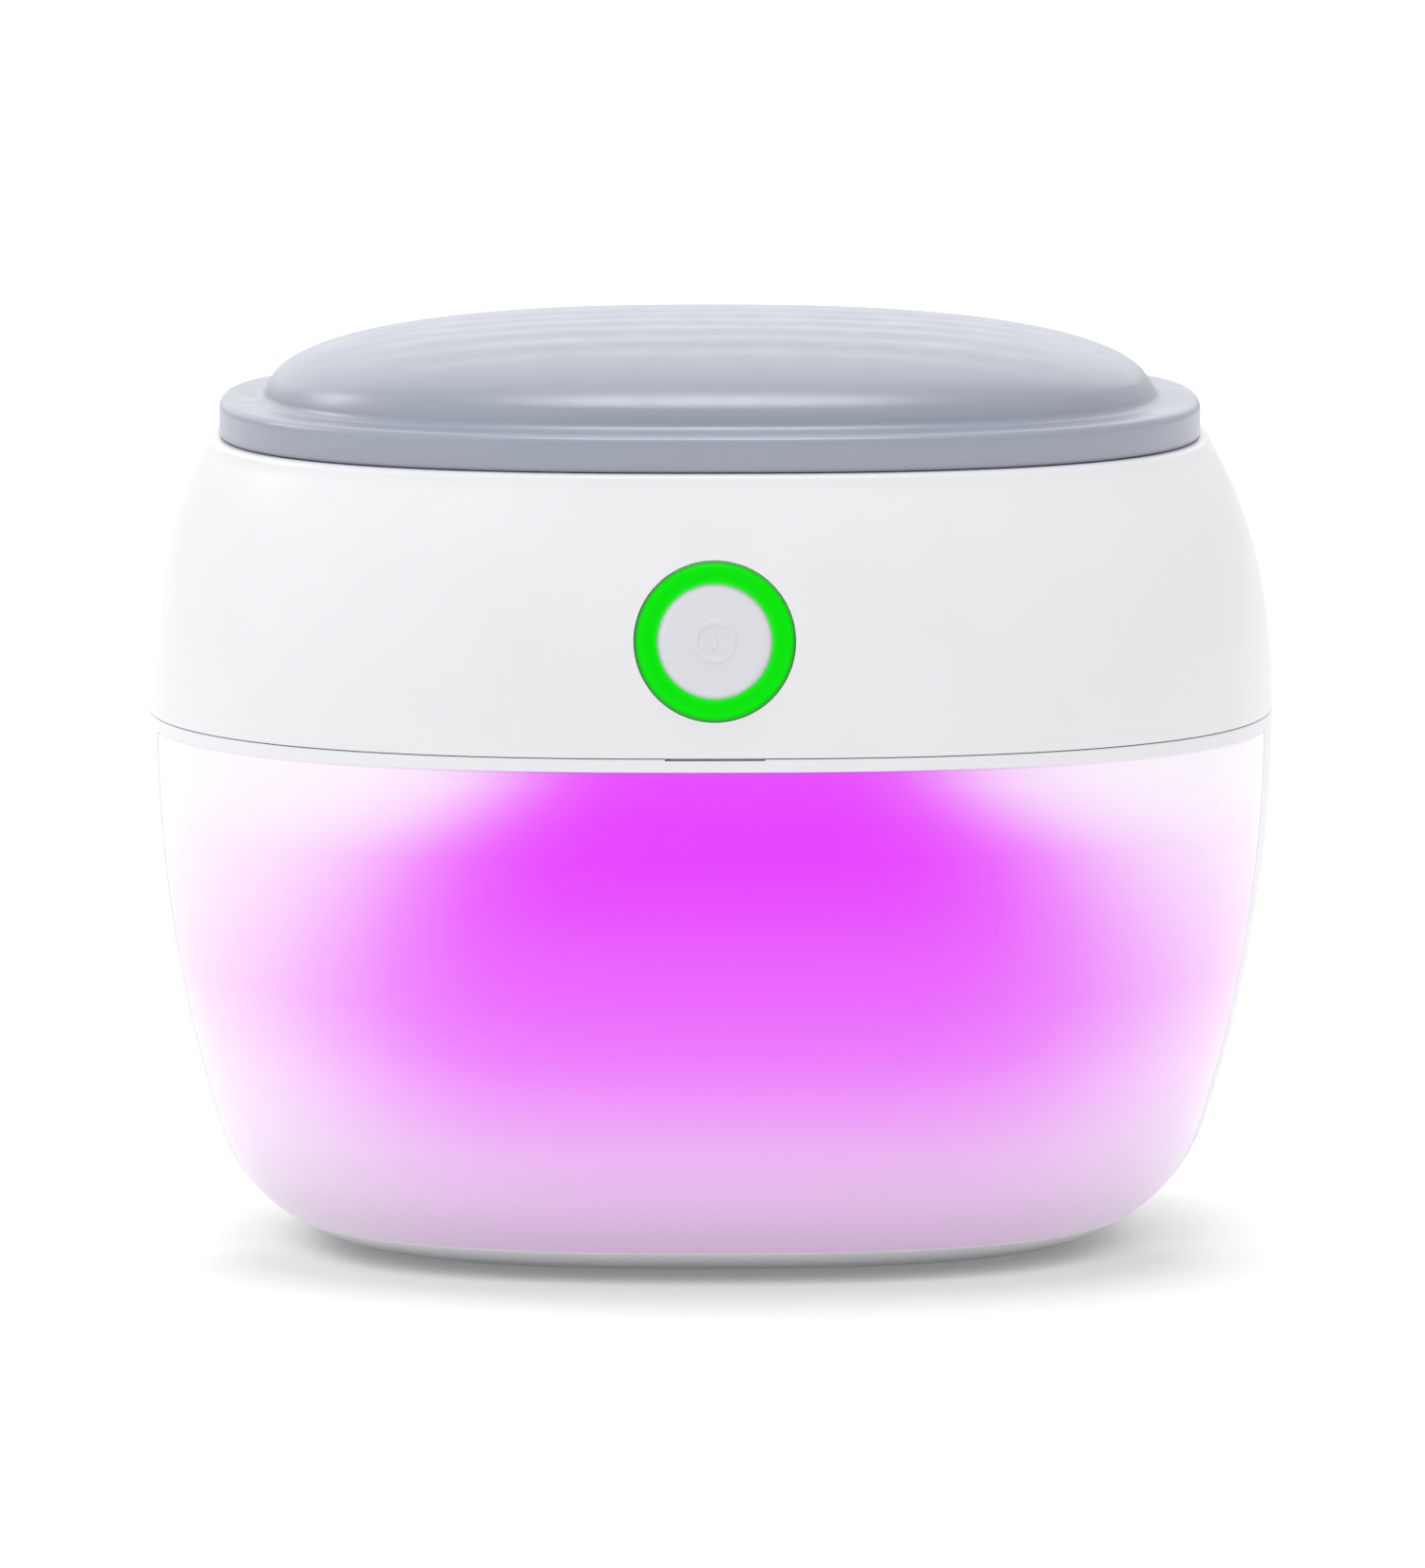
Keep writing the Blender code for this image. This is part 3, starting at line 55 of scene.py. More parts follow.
# The CAD's form
HALF_WIDTH = 0.065
DEPTH_INSET = 0.0105
PLAN_EXPONENT = 2.5
BASE_Z = 0.001
SEAM_Z = 0.0625
DECK_Z = 0.0937
CLEARANCE = 0.0003
WALL = 0.0026
SIDE_RADIUS = 0.157
CORNER_RADIUS = 0.021
CORNER_LOW_Z = 0.0004
SIDE_SWEEP = math.asin((SEAM_Z - CORNER_LOW_Z - CORNER_RADIUS) / (SIDE_RADIUS - CORNER_RADIUS))
INNER_FLOOR_Z = 0.0062
UPPER_HEIGHT = 0.0568
UPPER_EXPONENT = 2.3
DECK_THICKNESS = 0.003
MOUTH_HALF_WIDTH = 0.0462
WINDOW_SIDE_ANGLE = math.radians(14.05)
WINDOW_TOP_Z = 0.0610
WINDOW_BOTTOM_Z = 0.0037
WINDOW_THICKNESS = 0.0014
WINDOW_LEDGE = 0.0020
BUTTON_Z = 0.0757
INLET_Z = 0.046
SEAM_GAP = 0.00005  # half the gap between the two halves

# Lid
FLANGE_HALF_WIDTH = 0.0566
FLANGE_THICKNESS = 0.0039
FLANGE_FILLET = 0.0010
FOOT_FILLET = 0.0015
DOME_HALF_WIDTH = 0.0512
DOME_HEIGHT = 0.0094
DOME_EXPONENT = 2.4
LINER_RIM = 0.0489
LID_GAP = 0.0001

PLAN_STEPS = 240
CREASE = 35  # degrees; a sharper edge stays sharp in the shading
LATHE_CREASE = 50


# --- Meshes ---


def plan_point(half_width, half_depth, z, angle, exponent=PLAN_EXPONENT):
    power = 2.0 / exponent
    c, s = math.cos(angle), math.sin(angle)
    x = half_width * math.copysign(abs(c) ** power, c)
    y = half_depth * math.copysign(abs(s) ** power, s)
    return Vector((x, y, z))


def level(half_width, z, half_depth=None, exponent=PLAN_EXPONENT):
    """One ring of a loft. Its depth follows from its width unless it is given."""
    if half_depth is None:
        half_depth = half_width - DEPTH_INSET
    return (half_width, half_depth, z, exponent)


def new_object(name, bm, sharp=CREASE):
    """An object of the finished bmesh, smooth but for edges sharper than the angle."""
    bmesh.ops.recalc_face_normals(bm, faces=bm.faces)
    mesh = bpy.data.meshes.new(name)
    bm.to_mesh(mesh)
    bm.free()
    mesh.shade_smooth()
    mesh.set_sharp_from_angle(angle=math.radians(sharp))
    obj = bpy.data.objects.new(name, mesh)
    bpy.context.scene.collection.objects.link(obj)
    return obj


def loft(name, levels, closed, steps=PLAN_STEPS, sharp=CREASE):
    """Skins rings at successive levels. Closed, the last joins the first; open, both ends get a cap."""
    bm = bmesh.new()
    angles = [math.tau * i / steps for i in range(steps)]
    rings = []
    for w, d, z, e in levels:
        rings.append([bm.verts.new(plan_point(w, d, z, a, e)) for a in angles])
    pairs = list(zip(rings, rings[1:]))
    if closed:
        pairs.append((rings[-1], rings[0]))
    else:
        for ring in (rings[0], rings[-1]):
            cap(bm, ring)
    for first, second in pairs:
        for i in range(steps):
            j = (i + 1) % steps
            bm.faces.new((first[i], first[j], second[j], second[i]))
    return new_object(name, bm, sharp)


def cap(bm, ring):
    """Closes a ring with triangles to its centre."""
    middle = sum((v.co for v in ring), Vector()) / len(ring)
    centre = bm.verts.new(middle)
    for i, vert in enumerate(ring):
        bm.faces.new((vert, ring[(i + 1) % len(ring)], centre))


def turned(name, profile, steps=96, closed=False, sharp=CREASE):
    """Turns (radius, height) points about Z. Points on the axis close it; a closed profile is a ring."""
    turns = [math.tau * i / steps for i in range(steps)]
    bm = bmesh.new()
    rings = []
    for radius, height in profile:
        if radius < 1e-7:
            rings.append([bm.verts.new((0, 0, height))])
            continue
        circle = [(radius * math.cos(t), radius * math.sin(t), height) for t in turns]
        rings.append([bm.verts.new(point) for point in circle])
    pairs = list(zip(rings, rings[1:]))
    if closed:
        pairs.append((rings[-1], rings[0]))
    for first, second in pairs:
        for i in range(steps):
            j = (i + 1) % steps
            if len(first) == 1 and len(second) == 1:
                break
            if len(first) == 1:
                bm.faces.new((first[0], second[j], second[i]))
            elif len(second) == 1:
                bm.faces.new((first[i], first[j], second[0]))
            else:
                bm.faces.new((first[i], first[j], second[j], second[i]))
    return new_object(name, bm, sharp)


def arc(centre, radius, start, end, steps):
    """Points (across, up) of an arc, between two angles in degrees."""
    turns = [math.radians(start + (end - start) * i / steps) for i in range(steps + 1)]
    return [(centre[0] + radius * math.cos(t), centre[1] + radius * math.sin(t)) for t in turns]


def upper_width(z):
    share = max(0.0, (z - SEAM_Z) / UPPER_HEIGHT)
    return HALF_WIDTH * (1.0 - share**UPPER_EXPONENT) ** (1.0 / UPPER_EXPONENT)


def lower_point(sweep, depth=0.0):
    """(half width, z) of the lower half's profile at a sweep from seam to base, depth under its face."""
    if sweep <= SIDE_SWEEP:
        reach = SIDE_RADIUS - depth
        return (HALF_WIDTH - SIDE_RADIUS + reach * math.cos(sweep), SEAM_Z - reach * math.sin(sweep))
    centre = SIDE_RADIUS - CORNER_RADIUS
    centre_width = HALF_WIDTH - SIDE_RADIUS + centre * math.cos(SIDE_SWEEP)
    centre_z = SEAM_Z - centre * math.sin(SIDE_SWEEP)
    reach = CORNER_RADIUS - depth
    return (centre_width + reach * math.cos(sweep), centre_z - reach * math.sin(sweep))


def lower_sweep_at(z, depth=0.0):
    """The sweep at which the lower half's profile is at height z."""
    in_side = (SEAM_Z - z) / (SIDE_RADIUS - depth)
    if in_side <= math.sin(SIDE_SWEEP):
        return math.asin(in_side)
    centre_z = SEAM_Z - (SIDE_RADIUS - CORNER_RADIUS) * math.sin(SIDE_SWEEP)
    return math.asin(min(1.0, (centre_z - z) / (CORNER_RADIUS - depth)))


def spread(start, end, steps):
    return [start + (end - start) * i / steps for i in range(steps + 1)]


def button_matrix():
    """Places the button's own axis square to the upper half's sloping front."""
    step = 0.0005
    slope = (upper_width(BUTTON_Z - step) - upper_width(BUTTON_Z + step)) / (2 * step)
    place = Matrix.Translation((0.0, DEPTH_INSET - upper_width(BUTTON_Z), BUTTON_Z))
    return place @ Matrix.Rotation(math.pi / 2 - math.atan(slope), 4, "X")


BUTTON = button_matrix()


# --- Materials ---


def srgb(r, g, b):
    """Linear colour of 8-bit display values."""
    return tuple(((v / 255 + 0.055) / 1.055) ** 2.4 if v > 10 else v / 255 / 12.92 for v in (r, g, b))


MIX_FIRST, MIX_SECOND, MIX_RESULT = 6, 7, 2  # the Mix node's sockets for colours


def blank(name):
    material = bpy.data.materials.new(name)
    material.use_nodes = True
    tree = material.node_tree
    return material, tree, tree.nodes["Principled BSDF"]


def noise(tree, size, detail=2.0, roughness=0.5, stretch=(1, 1, 1)):
    """A noise over the object's own coordinates; size is its grain in metres."""
    place = tree.nodes.new("ShaderNodeTexCoord")
    mapping = tree.nodes.new("ShaderNodeMapping")
    mapping.inputs["Scale"].default_value = stretch
    texture = tree.nodes.new("ShaderNodeTexNoise")
    texture.inputs["Scale"].default_value = 1.0 / size
    texture.inputs["Detail"].default_value = detail
    texture.inputs["Roughness"].default_value = roughness
    tree.links.new(place.outputs["Object"], mapping.inputs["Vector"])
    tree.links.new(mapping.outputs["Vector"], texture.inputs["Vector"])
    return texture.outputs["Fac"]


def feed(tree, socket, value):
    """Links a node's output to the socket, or sets the socket to a plain value."""
    if hasattr(value, "links"):
        tree.links.new(value, socket)
    else:
        socket.default_value = value


def ranged(tree, value, low, high, from_low=0.25, from_high=0.75):
    """Maps the value from one range to another; the range it comes from is a noise's usual one."""
    node = tree.nodes.new("ShaderNodeMapRange")
    node.inputs["From Min"].default_value = from_low
    node.inputs["From Max"].default_value = from_high
    node.inputs["To Min"].default_value = low
    node.inputs["To Max"].default_value = high
    tree.links.new(value, node.inputs["Value"])
    return node.outputs["Result"]


def mixed(tree, factor, first, second, blend="MIX"):
    node = tree.nodes.new("ShaderNodeMix")
    node.data_type = "RGBA"
    node.blend_type = blend
    feed(tree, node.inputs["Factor"], factor)
    for place, value in ((MIX_FIRST, first), (MIX_SECOND, second)):
        feed(tree, node.inputs[place], value if hasattr(value, "links") else (*value, 1.0))
    return node.outputs[MIX_RESULT]


def dimmed(tree, colour, share):
    """The colour mixed with black; share is what is left of it."""
    return mixed(tree, share, (0, 0, 0), colour)


def own_axes(tree):
    """The X, Y and Z of the shaded point in the object's own coordinates."""
    place = tree.nodes.new("ShaderNodeTexCoord")
    parts = tree.nodes.new("ShaderNodeSeparateXYZ")
    tree.links.new(place.outputs["Object"], parts.inputs["Vector"])
    return parts.outputs


def bumped(tree, shader, height, distance):
    node = tree.nodes.new("ShaderNodeBump")
    node.inputs["Strength"].default_value = 1.0
    node.inputs["Distance"].default_value = distance
    tree.links.new(height, node.inputs["Height"])
    tree.links.new(node.outputs["Normal"], shader.inputs["Normal"])


GLOSS_CLOUD = 0.4  # the gloss's clouds against the colour's
GLOSS_VARY = 0.12


def surface(
    name, colour, roughness, metallic=0.0, vary=0.03, cloud=0.012, grain=0.0006, depth=0.000004,
    stretch=(1, 1, 1), **sockets,
):
    """A moulded, cast or machined surface: clouded colour, uneven gloss and a fine grain in relief.

    vary is the share the colour varies by. cloud and grain are sizes in metres. depth is the grain's relief,
    and stretch scales the grain along each axis. Any other name is a socket of the shader.
    """
    material, tree, shader = blank(name)
    clouds = ranged(tree, noise(tree, cloud, 3.0), 0, 1)
    darker = tuple(v * (1 - vary) for v in colour)
    lighter = tuple(min(1.0, v * (1 + vary)) for v in colour)
    tree.links.new(mixed(tree, clouds, darker, lighter), shader.inputs["Base Color"])
    glossiest, dullest = roughness * (1 - GLOSS_VARY), min(1.0, roughness * (1 + GLOSS_VARY))
    gloss = ranged(tree, noise(tree, cloud * GLOSS_CLOUD, 4.0), glossiest, dullest)
    tree.links.new(gloss, shader.inputs["Roughness"])
    shader.inputs["Metallic"].default_value = metallic
    bumped(tree, shader, noise(tree, grain, 2.0, 0.6, stretch), depth)
    for socket, value in sockets.items():
        shader.inputs[socket].default_value = value
    return material


def dress(obj, material):
    obj.data.materials.clear()
    obj.data.materials.append(material)
    return obj


def shell_white(name):
    return surface(name, srgb(221, 221, 224), 0.34, vary=0.012, grain=0.0022, depth=0.0000015)


SHELL = shell_white("shell_gloss")
SHELL_LOW = shell_white("shell_gloss_low")
LID = surface(
    "lid_satin", srgb(138, 144, 158), 0.33, vary=0.012, grain=0.00035, depth=0.000012,
    **{"Specular IOR Level": 1.0},  # twice a plastic's usual sheen, for the photo's highlights
)
LINER = surface("liner_white", srgb(226, 226, 228), 0.38, vary=0.015)
CAP = surface("button_satin", srgb(207, 208, 213), 0.36, vary=0.012, grain=0.0004)
SILICONE = surface("silicone", srgb(206, 208, 210), 0.62, vary=0.04, grain=0.0003, depth=0.00001)
RUBBER = surface("rubber", srgb(58, 58, 60), 0.82, vary=0.12, cloud=0.003, grain=0.00025, depth=0.00003)
STEEL = surface("brushed_steel", (0.62, 0.63, 0.64), 0.33, 1.0, stretch=(1, 30, 1), depth=0.000008)
ZINC = surface("zinc_screw", (0.56, 0.57, 0.58), 0.33, 1.0, vary=0.1, cloud=0.002, grain=0.0002)
CERAMIC = surface("piezo_ceramic", srgb(186, 178, 160), 0.55, vary=0.08, grain=0.0004, depth=0.00002)
BLACK = surface("black_plastic", srgb(26, 26, 28), 0.45, vary=0.15, grain=0.0003, depth=0.00001)
FERRITE = surface("ferrite", srgb(48, 48, 50), 0.7, vary=0.2, cloud=0.004, grain=0.0004, depth=0.00003)
COPPER = surface(
    "copper_winding", (0.62, 0.25, 0.09), 0.32, 1.0, stretch=(1, 1, 12), grain=0.0008, depth=0.0001
)
ALUMINIUM = surface("aluminium", (0.70, 0.71, 0.73), 0.36, 1.0, stretch=(20, 1, 1), depth=0.000008)
LENS = surface("led_lens", srgb(236, 234, 244), 0.12, vary=0.02, grain=0.0008, depth=0.000002)
MAGNET = surface("nickel", (0.66, 0.64, 0.60), 0.2, 1.0, vary=0.05)
RED_SLEEVE = surface("red_sleeve", srgb(176, 22, 20), 0.42, vary=0.06)
BLACK_SLEEVE = surface("black_sleeve", srgb(24, 24, 25), 0.42, vary=0.1)
NYLON = surface("nylon", srgb(228, 225, 214), 0.5, vary=0.03)

FOOT_SHADE = 0.52  # what is left of the colour at the foot
FOOT_SHADE_HEIGHTS = (0.0016, 0.0042)


def greyed_foot(material):
    """Paints the last few millimetres above the floor darker, for part of the shade the photo has there."""
    tree = material.node_tree
    painted = tree.nodes["Principled BSDF"].inputs["Base Color"]
    kept = ranged(tree, own_axes(tree)["Z"], FOOT_SHADE, 1.0, *FOOT_SHADE_HEIGHTS)
    tree.links.new(dimmed(tree, painted.links[0].from_socket, kept), painted)


greyed_foot(SHELL_LOW)


def board_material():
    """Green solder mask over paler copper tracks, on a square grid."""
    material, tree, shader = blank("circuit_board")
    place = tree.nodes.new("ShaderNodeTexCoord")
    tracks = tree.nodes.new("ShaderNodeTexVoronoi")
    tracks.distance = "CHEBYCHEV"
    tracks.feature = "F1"
    tracks.inputs["Scale"].default_value = 1 / 0.0034
    tracks.inputs["Randomness"].default_value = 0.45
    tree.links.new(place.outputs["Object"], tracks.inputs["Vector"])
    edge = ranged(tree, tracks.outputs["Distance"], 0, 1, 0.40, 0.44)
    tree.links.new(mixed(tree, edge, srgb(24, 84, 52), srgb(58, 128, 78)), shader.inputs["Base Color"])
    tree.links.new(ranged(tree, edge, 0.42, 0.30, 0, 1), shader.inputs["Roughness"])
    bumped(tree, shader, edge, 0.00003)
    return material


BOARD = board_material()


def basin_material():
    """Milky clear moulded plastic with faint flow marks."""
    material, tree, shader = blank("clear_basin")
    shader.inputs["Base Color"].default_value = (*srgb(238, 243, 247), 1.0)
    shader.inputs["Transmission Weight"].default_value = 0.45
    shader.inputs["IOR"].default_value = 1.46
    tree.links.new(ranged(tree, noise(tree, 0.01, 3.0), 0.12, 0.2), shader.inputs["Roughness"])
    bumped(tree, shader, noise(tree, 0.006, 2.0), 0.00002)
    return material


BASIN = basin_material()


def light_field(tree):
    """How violet the window's painted glow is, from 0 to 1, and how bright it is, over its width and height.
    """
    axes = own_axes(tree)
    down = ranged(tree, axes["Z"], 1.0, 0.0, 0.0, SEAM_Z)
    reach = math_node(tree, "MULTIPLY", stops(tree, down, FIELD_REACH), FIELD_REACH_UNIT)
    offset = math_node(tree, "SUBTRACT", axes["X"], FIELD_CENTRE)
    share = math_node(tree, "DIVIDE", math_node(tree, "ABSOLUTE", offset), reach)
    falloff = math_node(tree, "ADD", math_node(tree, "POWER", share, FIELD_EDGE), 1.0)
    kept = math_node(tree, "DIVIDE", 1.0, falloff)
    violet = math_node(tree, "MULTIPLY", stops(tree, down, FIELD_STRENGTH), kept)
    return violet, stops(tree, down, FIELD_BRIGHT)


def math_node(tree, operation, *values):
    node = tree.nodes.new("ShaderNodeMath")
    node.operation = operation
    for socket, value in zip(node.inputs, values):
        feed(tree, socket, value)
    return node.outputs[0]


def vector_node(tree, operation, *values):
    node = tree.nodes.new("ShaderNodeVectorMath")
    node.operation = operation
    for socket, value in zip(node.inputs, values):
        feed(tree, socket, value)
    return node.outputs["Value" if operation == "LENGTH" else "Vector"]


def stops(tree, value, pairs, colours=False):
    """A ramp through (place, value) pairs; a value is a number or, with colours, a linear colour."""
    node = tree.nodes.new("ShaderNodeValToRGB")
    ramp = node.color_ramp
    while len(ramp.elements) < len(pairs):
        ramp.elements.new(0.5)
    for element, (place, held) in zip(ramp.elements, pairs):
        element.position = place
        element.color = (*held, 1.0) if colours else (held, held, held, 1.0)
    tree.links.new(value, node.inputs["Fac"])
    return node.outputs["Color"]


# Down from the seam, as a share of the height, for the painted glow: how violet, half the width of the
# field, and how bright (lower towards the foot, as painted shade)
FIELD_STRENGTH = (
    (0.0, 0.90), (0.055, 0.97), (0.12, 1.0), (0.19, 1.0), (0.28, 0.94), (0.37, 0.85),
    (0.46, 0.78), (0.55, 0.70), (0.65, 0.52), (0.74, 0.35), (0.83, 0.25), (1.0, 0.15),
)
FIELD_REACH = (
    (0.0, 0.242), (0.055, 0.258), (0.11, 0.300), (0.19, 0.375), (0.28, 0.415),
    (0.37, 0.455), (0.46, 0.485), (0.55, 0.470), (0.70, 0.46), (1.0, 0.48),
)
FIELD_BRIGHT = (
    (0.0, 1.0), (0.62, 1.0), (0.75, 0.93), (0.83, 0.85), (0.90, 0.74), (0.95, 0.67), (1.0, 0.62),
)
FIELD_REACH_UNIT = 0.1  # metres; a colour ramp's values stay under 1
FIELD_CENTRE = 0.0022
FIELD_EDGE = 5.4  # how steeply the violet falls off at the sides
VIOLETS = (
    (0.0, srgb(252, 247, 254)),
    (0.2, srgb(250, 215, 255)),
    (0.4, srgb(246, 178, 255)),
    (0.6, srgb(241, 139, 255)),
    (0.8, srgb(236, 100, 255)),
    (1.0, srgb(230, 60, 253)),
)
WINDOW_BASE = 0.42
WINDOW_GLOW = 0.52


def window_material():
    """Frosted panel with a painted glow, as if lit from behind: strongest at the top centre, white at the
    sides, and dimmer at the foot, which is painted shade.
    """
    material, tree, shader = blank("window_glow")
    violet, bright = light_field(tree)
    lit = mixed(tree, 1.0, stops(tree, violet, VIOLETS, colours=True), bright, "MULTIPLY")
    tree.links.new(dimmed(tree, lit, WINDOW_BASE), shader.inputs["Base Color"])
    tree.links.new(lit, shader.inputs["Emission Color"])
    shader.inputs["Emission Strength"].default_value = WINDOW_GLOW
    tree.links.new(ranged(tree, noise(tree, 0.004, 3.0), 0.31, 0.39), shader.inputs["Roughness"])
    shader.inputs["Specular IOR Level"].default_value = 0.2
    bumped(tree, shader, noise(tree, 0.0003, 2.0), 0.000003)
    return material


# Colours from the ring's inner lip out to its rim; the dark last stops are painted shade at the outer rim
RING_COLOURS = (
    (0.00, srgb(60, 250, 60)),
    (0.08, srgb(8, 244, 10)),
    (0.30, srgb(2, 232, 4)),
    (0.80, srgb(2, 240, 4)),
    (0.93, srgb(10, 205, 14)),
    (1.00, srgb(60, 120, 66)),
)
RING_COLOUR_RADII = (0.0065, 0.0090)
RING_BASE = 0.36
RING_GLOW = 0.52


def ring_material():
    """Translucent green moulding lit from behind: a paler inner lip, and an outer rim darkened with painted
    shade.
    """
    material, tree, shader = blank("ring_glow")
    place = tree.nodes.new("ShaderNodeTexCoord")
    axis = BUTTON.col[2].to_3d()
    offset = vector_node(tree, "SUBTRACT", place.outputs["Object"], BUTTON.translation)
    across = vector_node(tree, "CROSS_PRODUCT", offset, axis)
    radius = vector_node(tree, "LENGTH", across)
    share = ranged(tree, radius, 0, 1, *RING_COLOUR_RADII)
    colour = stops(tree, share, RING_COLOURS, colours=True)
    clouds = ranged(tree, noise(tree, 0.0015, 4.0), 0.0, 0.12)
    cloudy = mixed(tree, clouds, colour, srgb(20, 255, 24))
    tree.links.new(dimmed(tree, cloudy, RING_BASE), shader.inputs["Base Color"])
    tree.links.new(cloudy, shader.inputs["Emission Color"])
    shader.inputs["Emission Strength"].default_value = RING_GLOW
    shader.inputs["Specular IOR Level"].default_value = 0.05
    tree.links.new(ranged(tree, noise(tree, 0.001, 3.0), 0.24, 0.36), shader.inputs["Roughness"])
    bumped(tree, shader, noise(tree, 0.0005, 2.0), 0.00001)
    return material


WINDOW = window_material()
RING = ring_material()


# --- Pieces ---


def stand_for(obj, body, material, slot, *nodes):
    """Dresses the piece, puts it on its body and, where nodes are named, hides the CAD it stands for."""
    dress(obj, material)
    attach(obj, body)
    if nodes:
        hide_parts(*nodes)
    return obj


def apply_cut(obj, tool):
    """Cuts the tool from the object for good and removes the tool."""
    modifier = obj.modifiers.new("cut", "BOOLEAN")
    modifier.operation = "DIFFERENCE"
    modifier.solver = "EXACT"
    modifier.object = tool
    bpy.context.view_layer.update()
    graph = bpy.context.evaluated_depsgraph_get()
    mesh = bpy.data.meshes.new_from_object(obj.evaluated_get(graph))
    obj.modifiers.clear()
    obj.data = mesh
    bpy.data.objects.remove(tool)
    mesh.shade_smooth()
    mesh.set_sharp_from_angle(angle=math.radians(CREASE))


def at_button(obj):
    obj.data.transform(BUTTON)
    return obj


UPPER_LIP = 0.00012  # the seam's edges are softened by this much
UPPER_LIP_START = 0.00003
UPPER_FACE_START = 0.0012  # above the seam
DECK_FILLET = 0.0009
MOUTH_FILLET = 0.0005
UPPER_INNER_Z = (0.0885, 0.0642)
TONGUE_HALF_WIDTHS = (0.0606, 0.0620)
TONGUE_Z = (0.0585, 0.0630)
BUTTON_BORE = 0.00912
BUTTON_BORE_REACH = (0.006, -0.008)  # out of the face and into it


def bore(name, radius, reach, steps=96):
    out, into = reach
    return turned(name, [(0, out), (radius, out), (radius, into), (0, into)], steps)


def upper_shell():
    inner_top = DECK_Z - DECK_THICKNESS
    edge_z = DECK_Z - DECK_FILLET
    bottom = SEAM_Z + SEAM_GAP
    levels = [level(HALF_WIDTH - UPPER_LIP, bottom)]
    levels += [level(HALF_WIDTH - UPPER_LIP_START, bottom + UPPER_LIP_START)]
    levels += [level(HALF_WIDTH, bottom + UPPER_LIP)]
    levels += [level(upper_width(z), z) for z in spread(SEAM_Z + UPPER_FACE_START, edge_z, 28)]
    edge = upper_width(edge_z)
    levels += [level(w, z) for w, z in arc((edge - DECK_FILLET, edge_z), DECK_FILLET, 15, 90, 5)]
    mouth = (MOUTH_HALF_WIDTH + MOUTH_FILLET, DECK_Z - MOUTH_FILLET)
    levels += [level(w, z) for w, z in arc(mouth, MOUTH_FILLET, 90, 180, 4)]
    levels += [level(MOUTH_HALF_WIDTH, inner_top), level(upper_width(inner_top) - WALL, inner_top)]
    levels += [level(upper_width(z) - WALL, z) for z in spread(*UPPER_INNER_Z, 10)]
    inside, outside = TONGUE_HALF_WIDTHS
    low, high = TONGUE_Z
    levels += [level(inside, high), level(inside, low), level(outside, low), level(outside, bottom)]
    shell = loft("upper_shell", levels, closed=True)
    apply_cut(shell, at_button(bore("bore", BUTTON_BORE, BUTTON_BORE_REACH)))
    stand_for(shell, "base", SHELL, "shell_white", "upper_housing")


def window_bounds(inset):
    """The window's first and last sweep, and first and last angle, drawn in by the inset."""
    top = lower_sweep_at(WINDOW_TOP_Z) + inset / SIDE_RADIUS
    bottom = lower_sweep_at(WINDOW_BOTTOM_Z) - inset / CORNER_RADIUS
    half_depth = HALF_WIDTH - DEPTH_INSET
    side_y = half_depth * math.sin(WINDOW_SIDE_ANGLE) ** (2 / PLAN_EXPONENT) + inset
    side = math.asin((side_y / half_depth) ** (PLAN_EXPONENT / 2))
    return top, bottom, math.pi + side, math.tau - side


HAIR = 1e-5  # of the whole range
NEAR_BORDER = 0.35  # of a step: an even step this near a border is left out


def stepped(borders, start, end, steps):
    """Even steps from start to end, with each border as two lines a hair apart, just before and after it."""
    hair = (end - start) * HAIR
    fixed = [v for b in borders for v in (b - hair, b + hair)]
    near = (end - start) / steps * NEAR_BORDER
    even = [v for v in spread(start, end, steps) if all(abs(v - b) > near for b in borders)]
    return sorted(even + fixed)


LOWER_LIP = 0.0001
BASE_HOLE = 0.0363  # half width of the hole that the base cover closes
BASE_LEDGE = 0.0320
BASE_LEDGE_Z = 0.0040
NOTCH = (0.0112, 0.0024, 0.00046)
INLET_BORE = 0.0046
INLET_BORE_REACH = (0.006, -0.009)


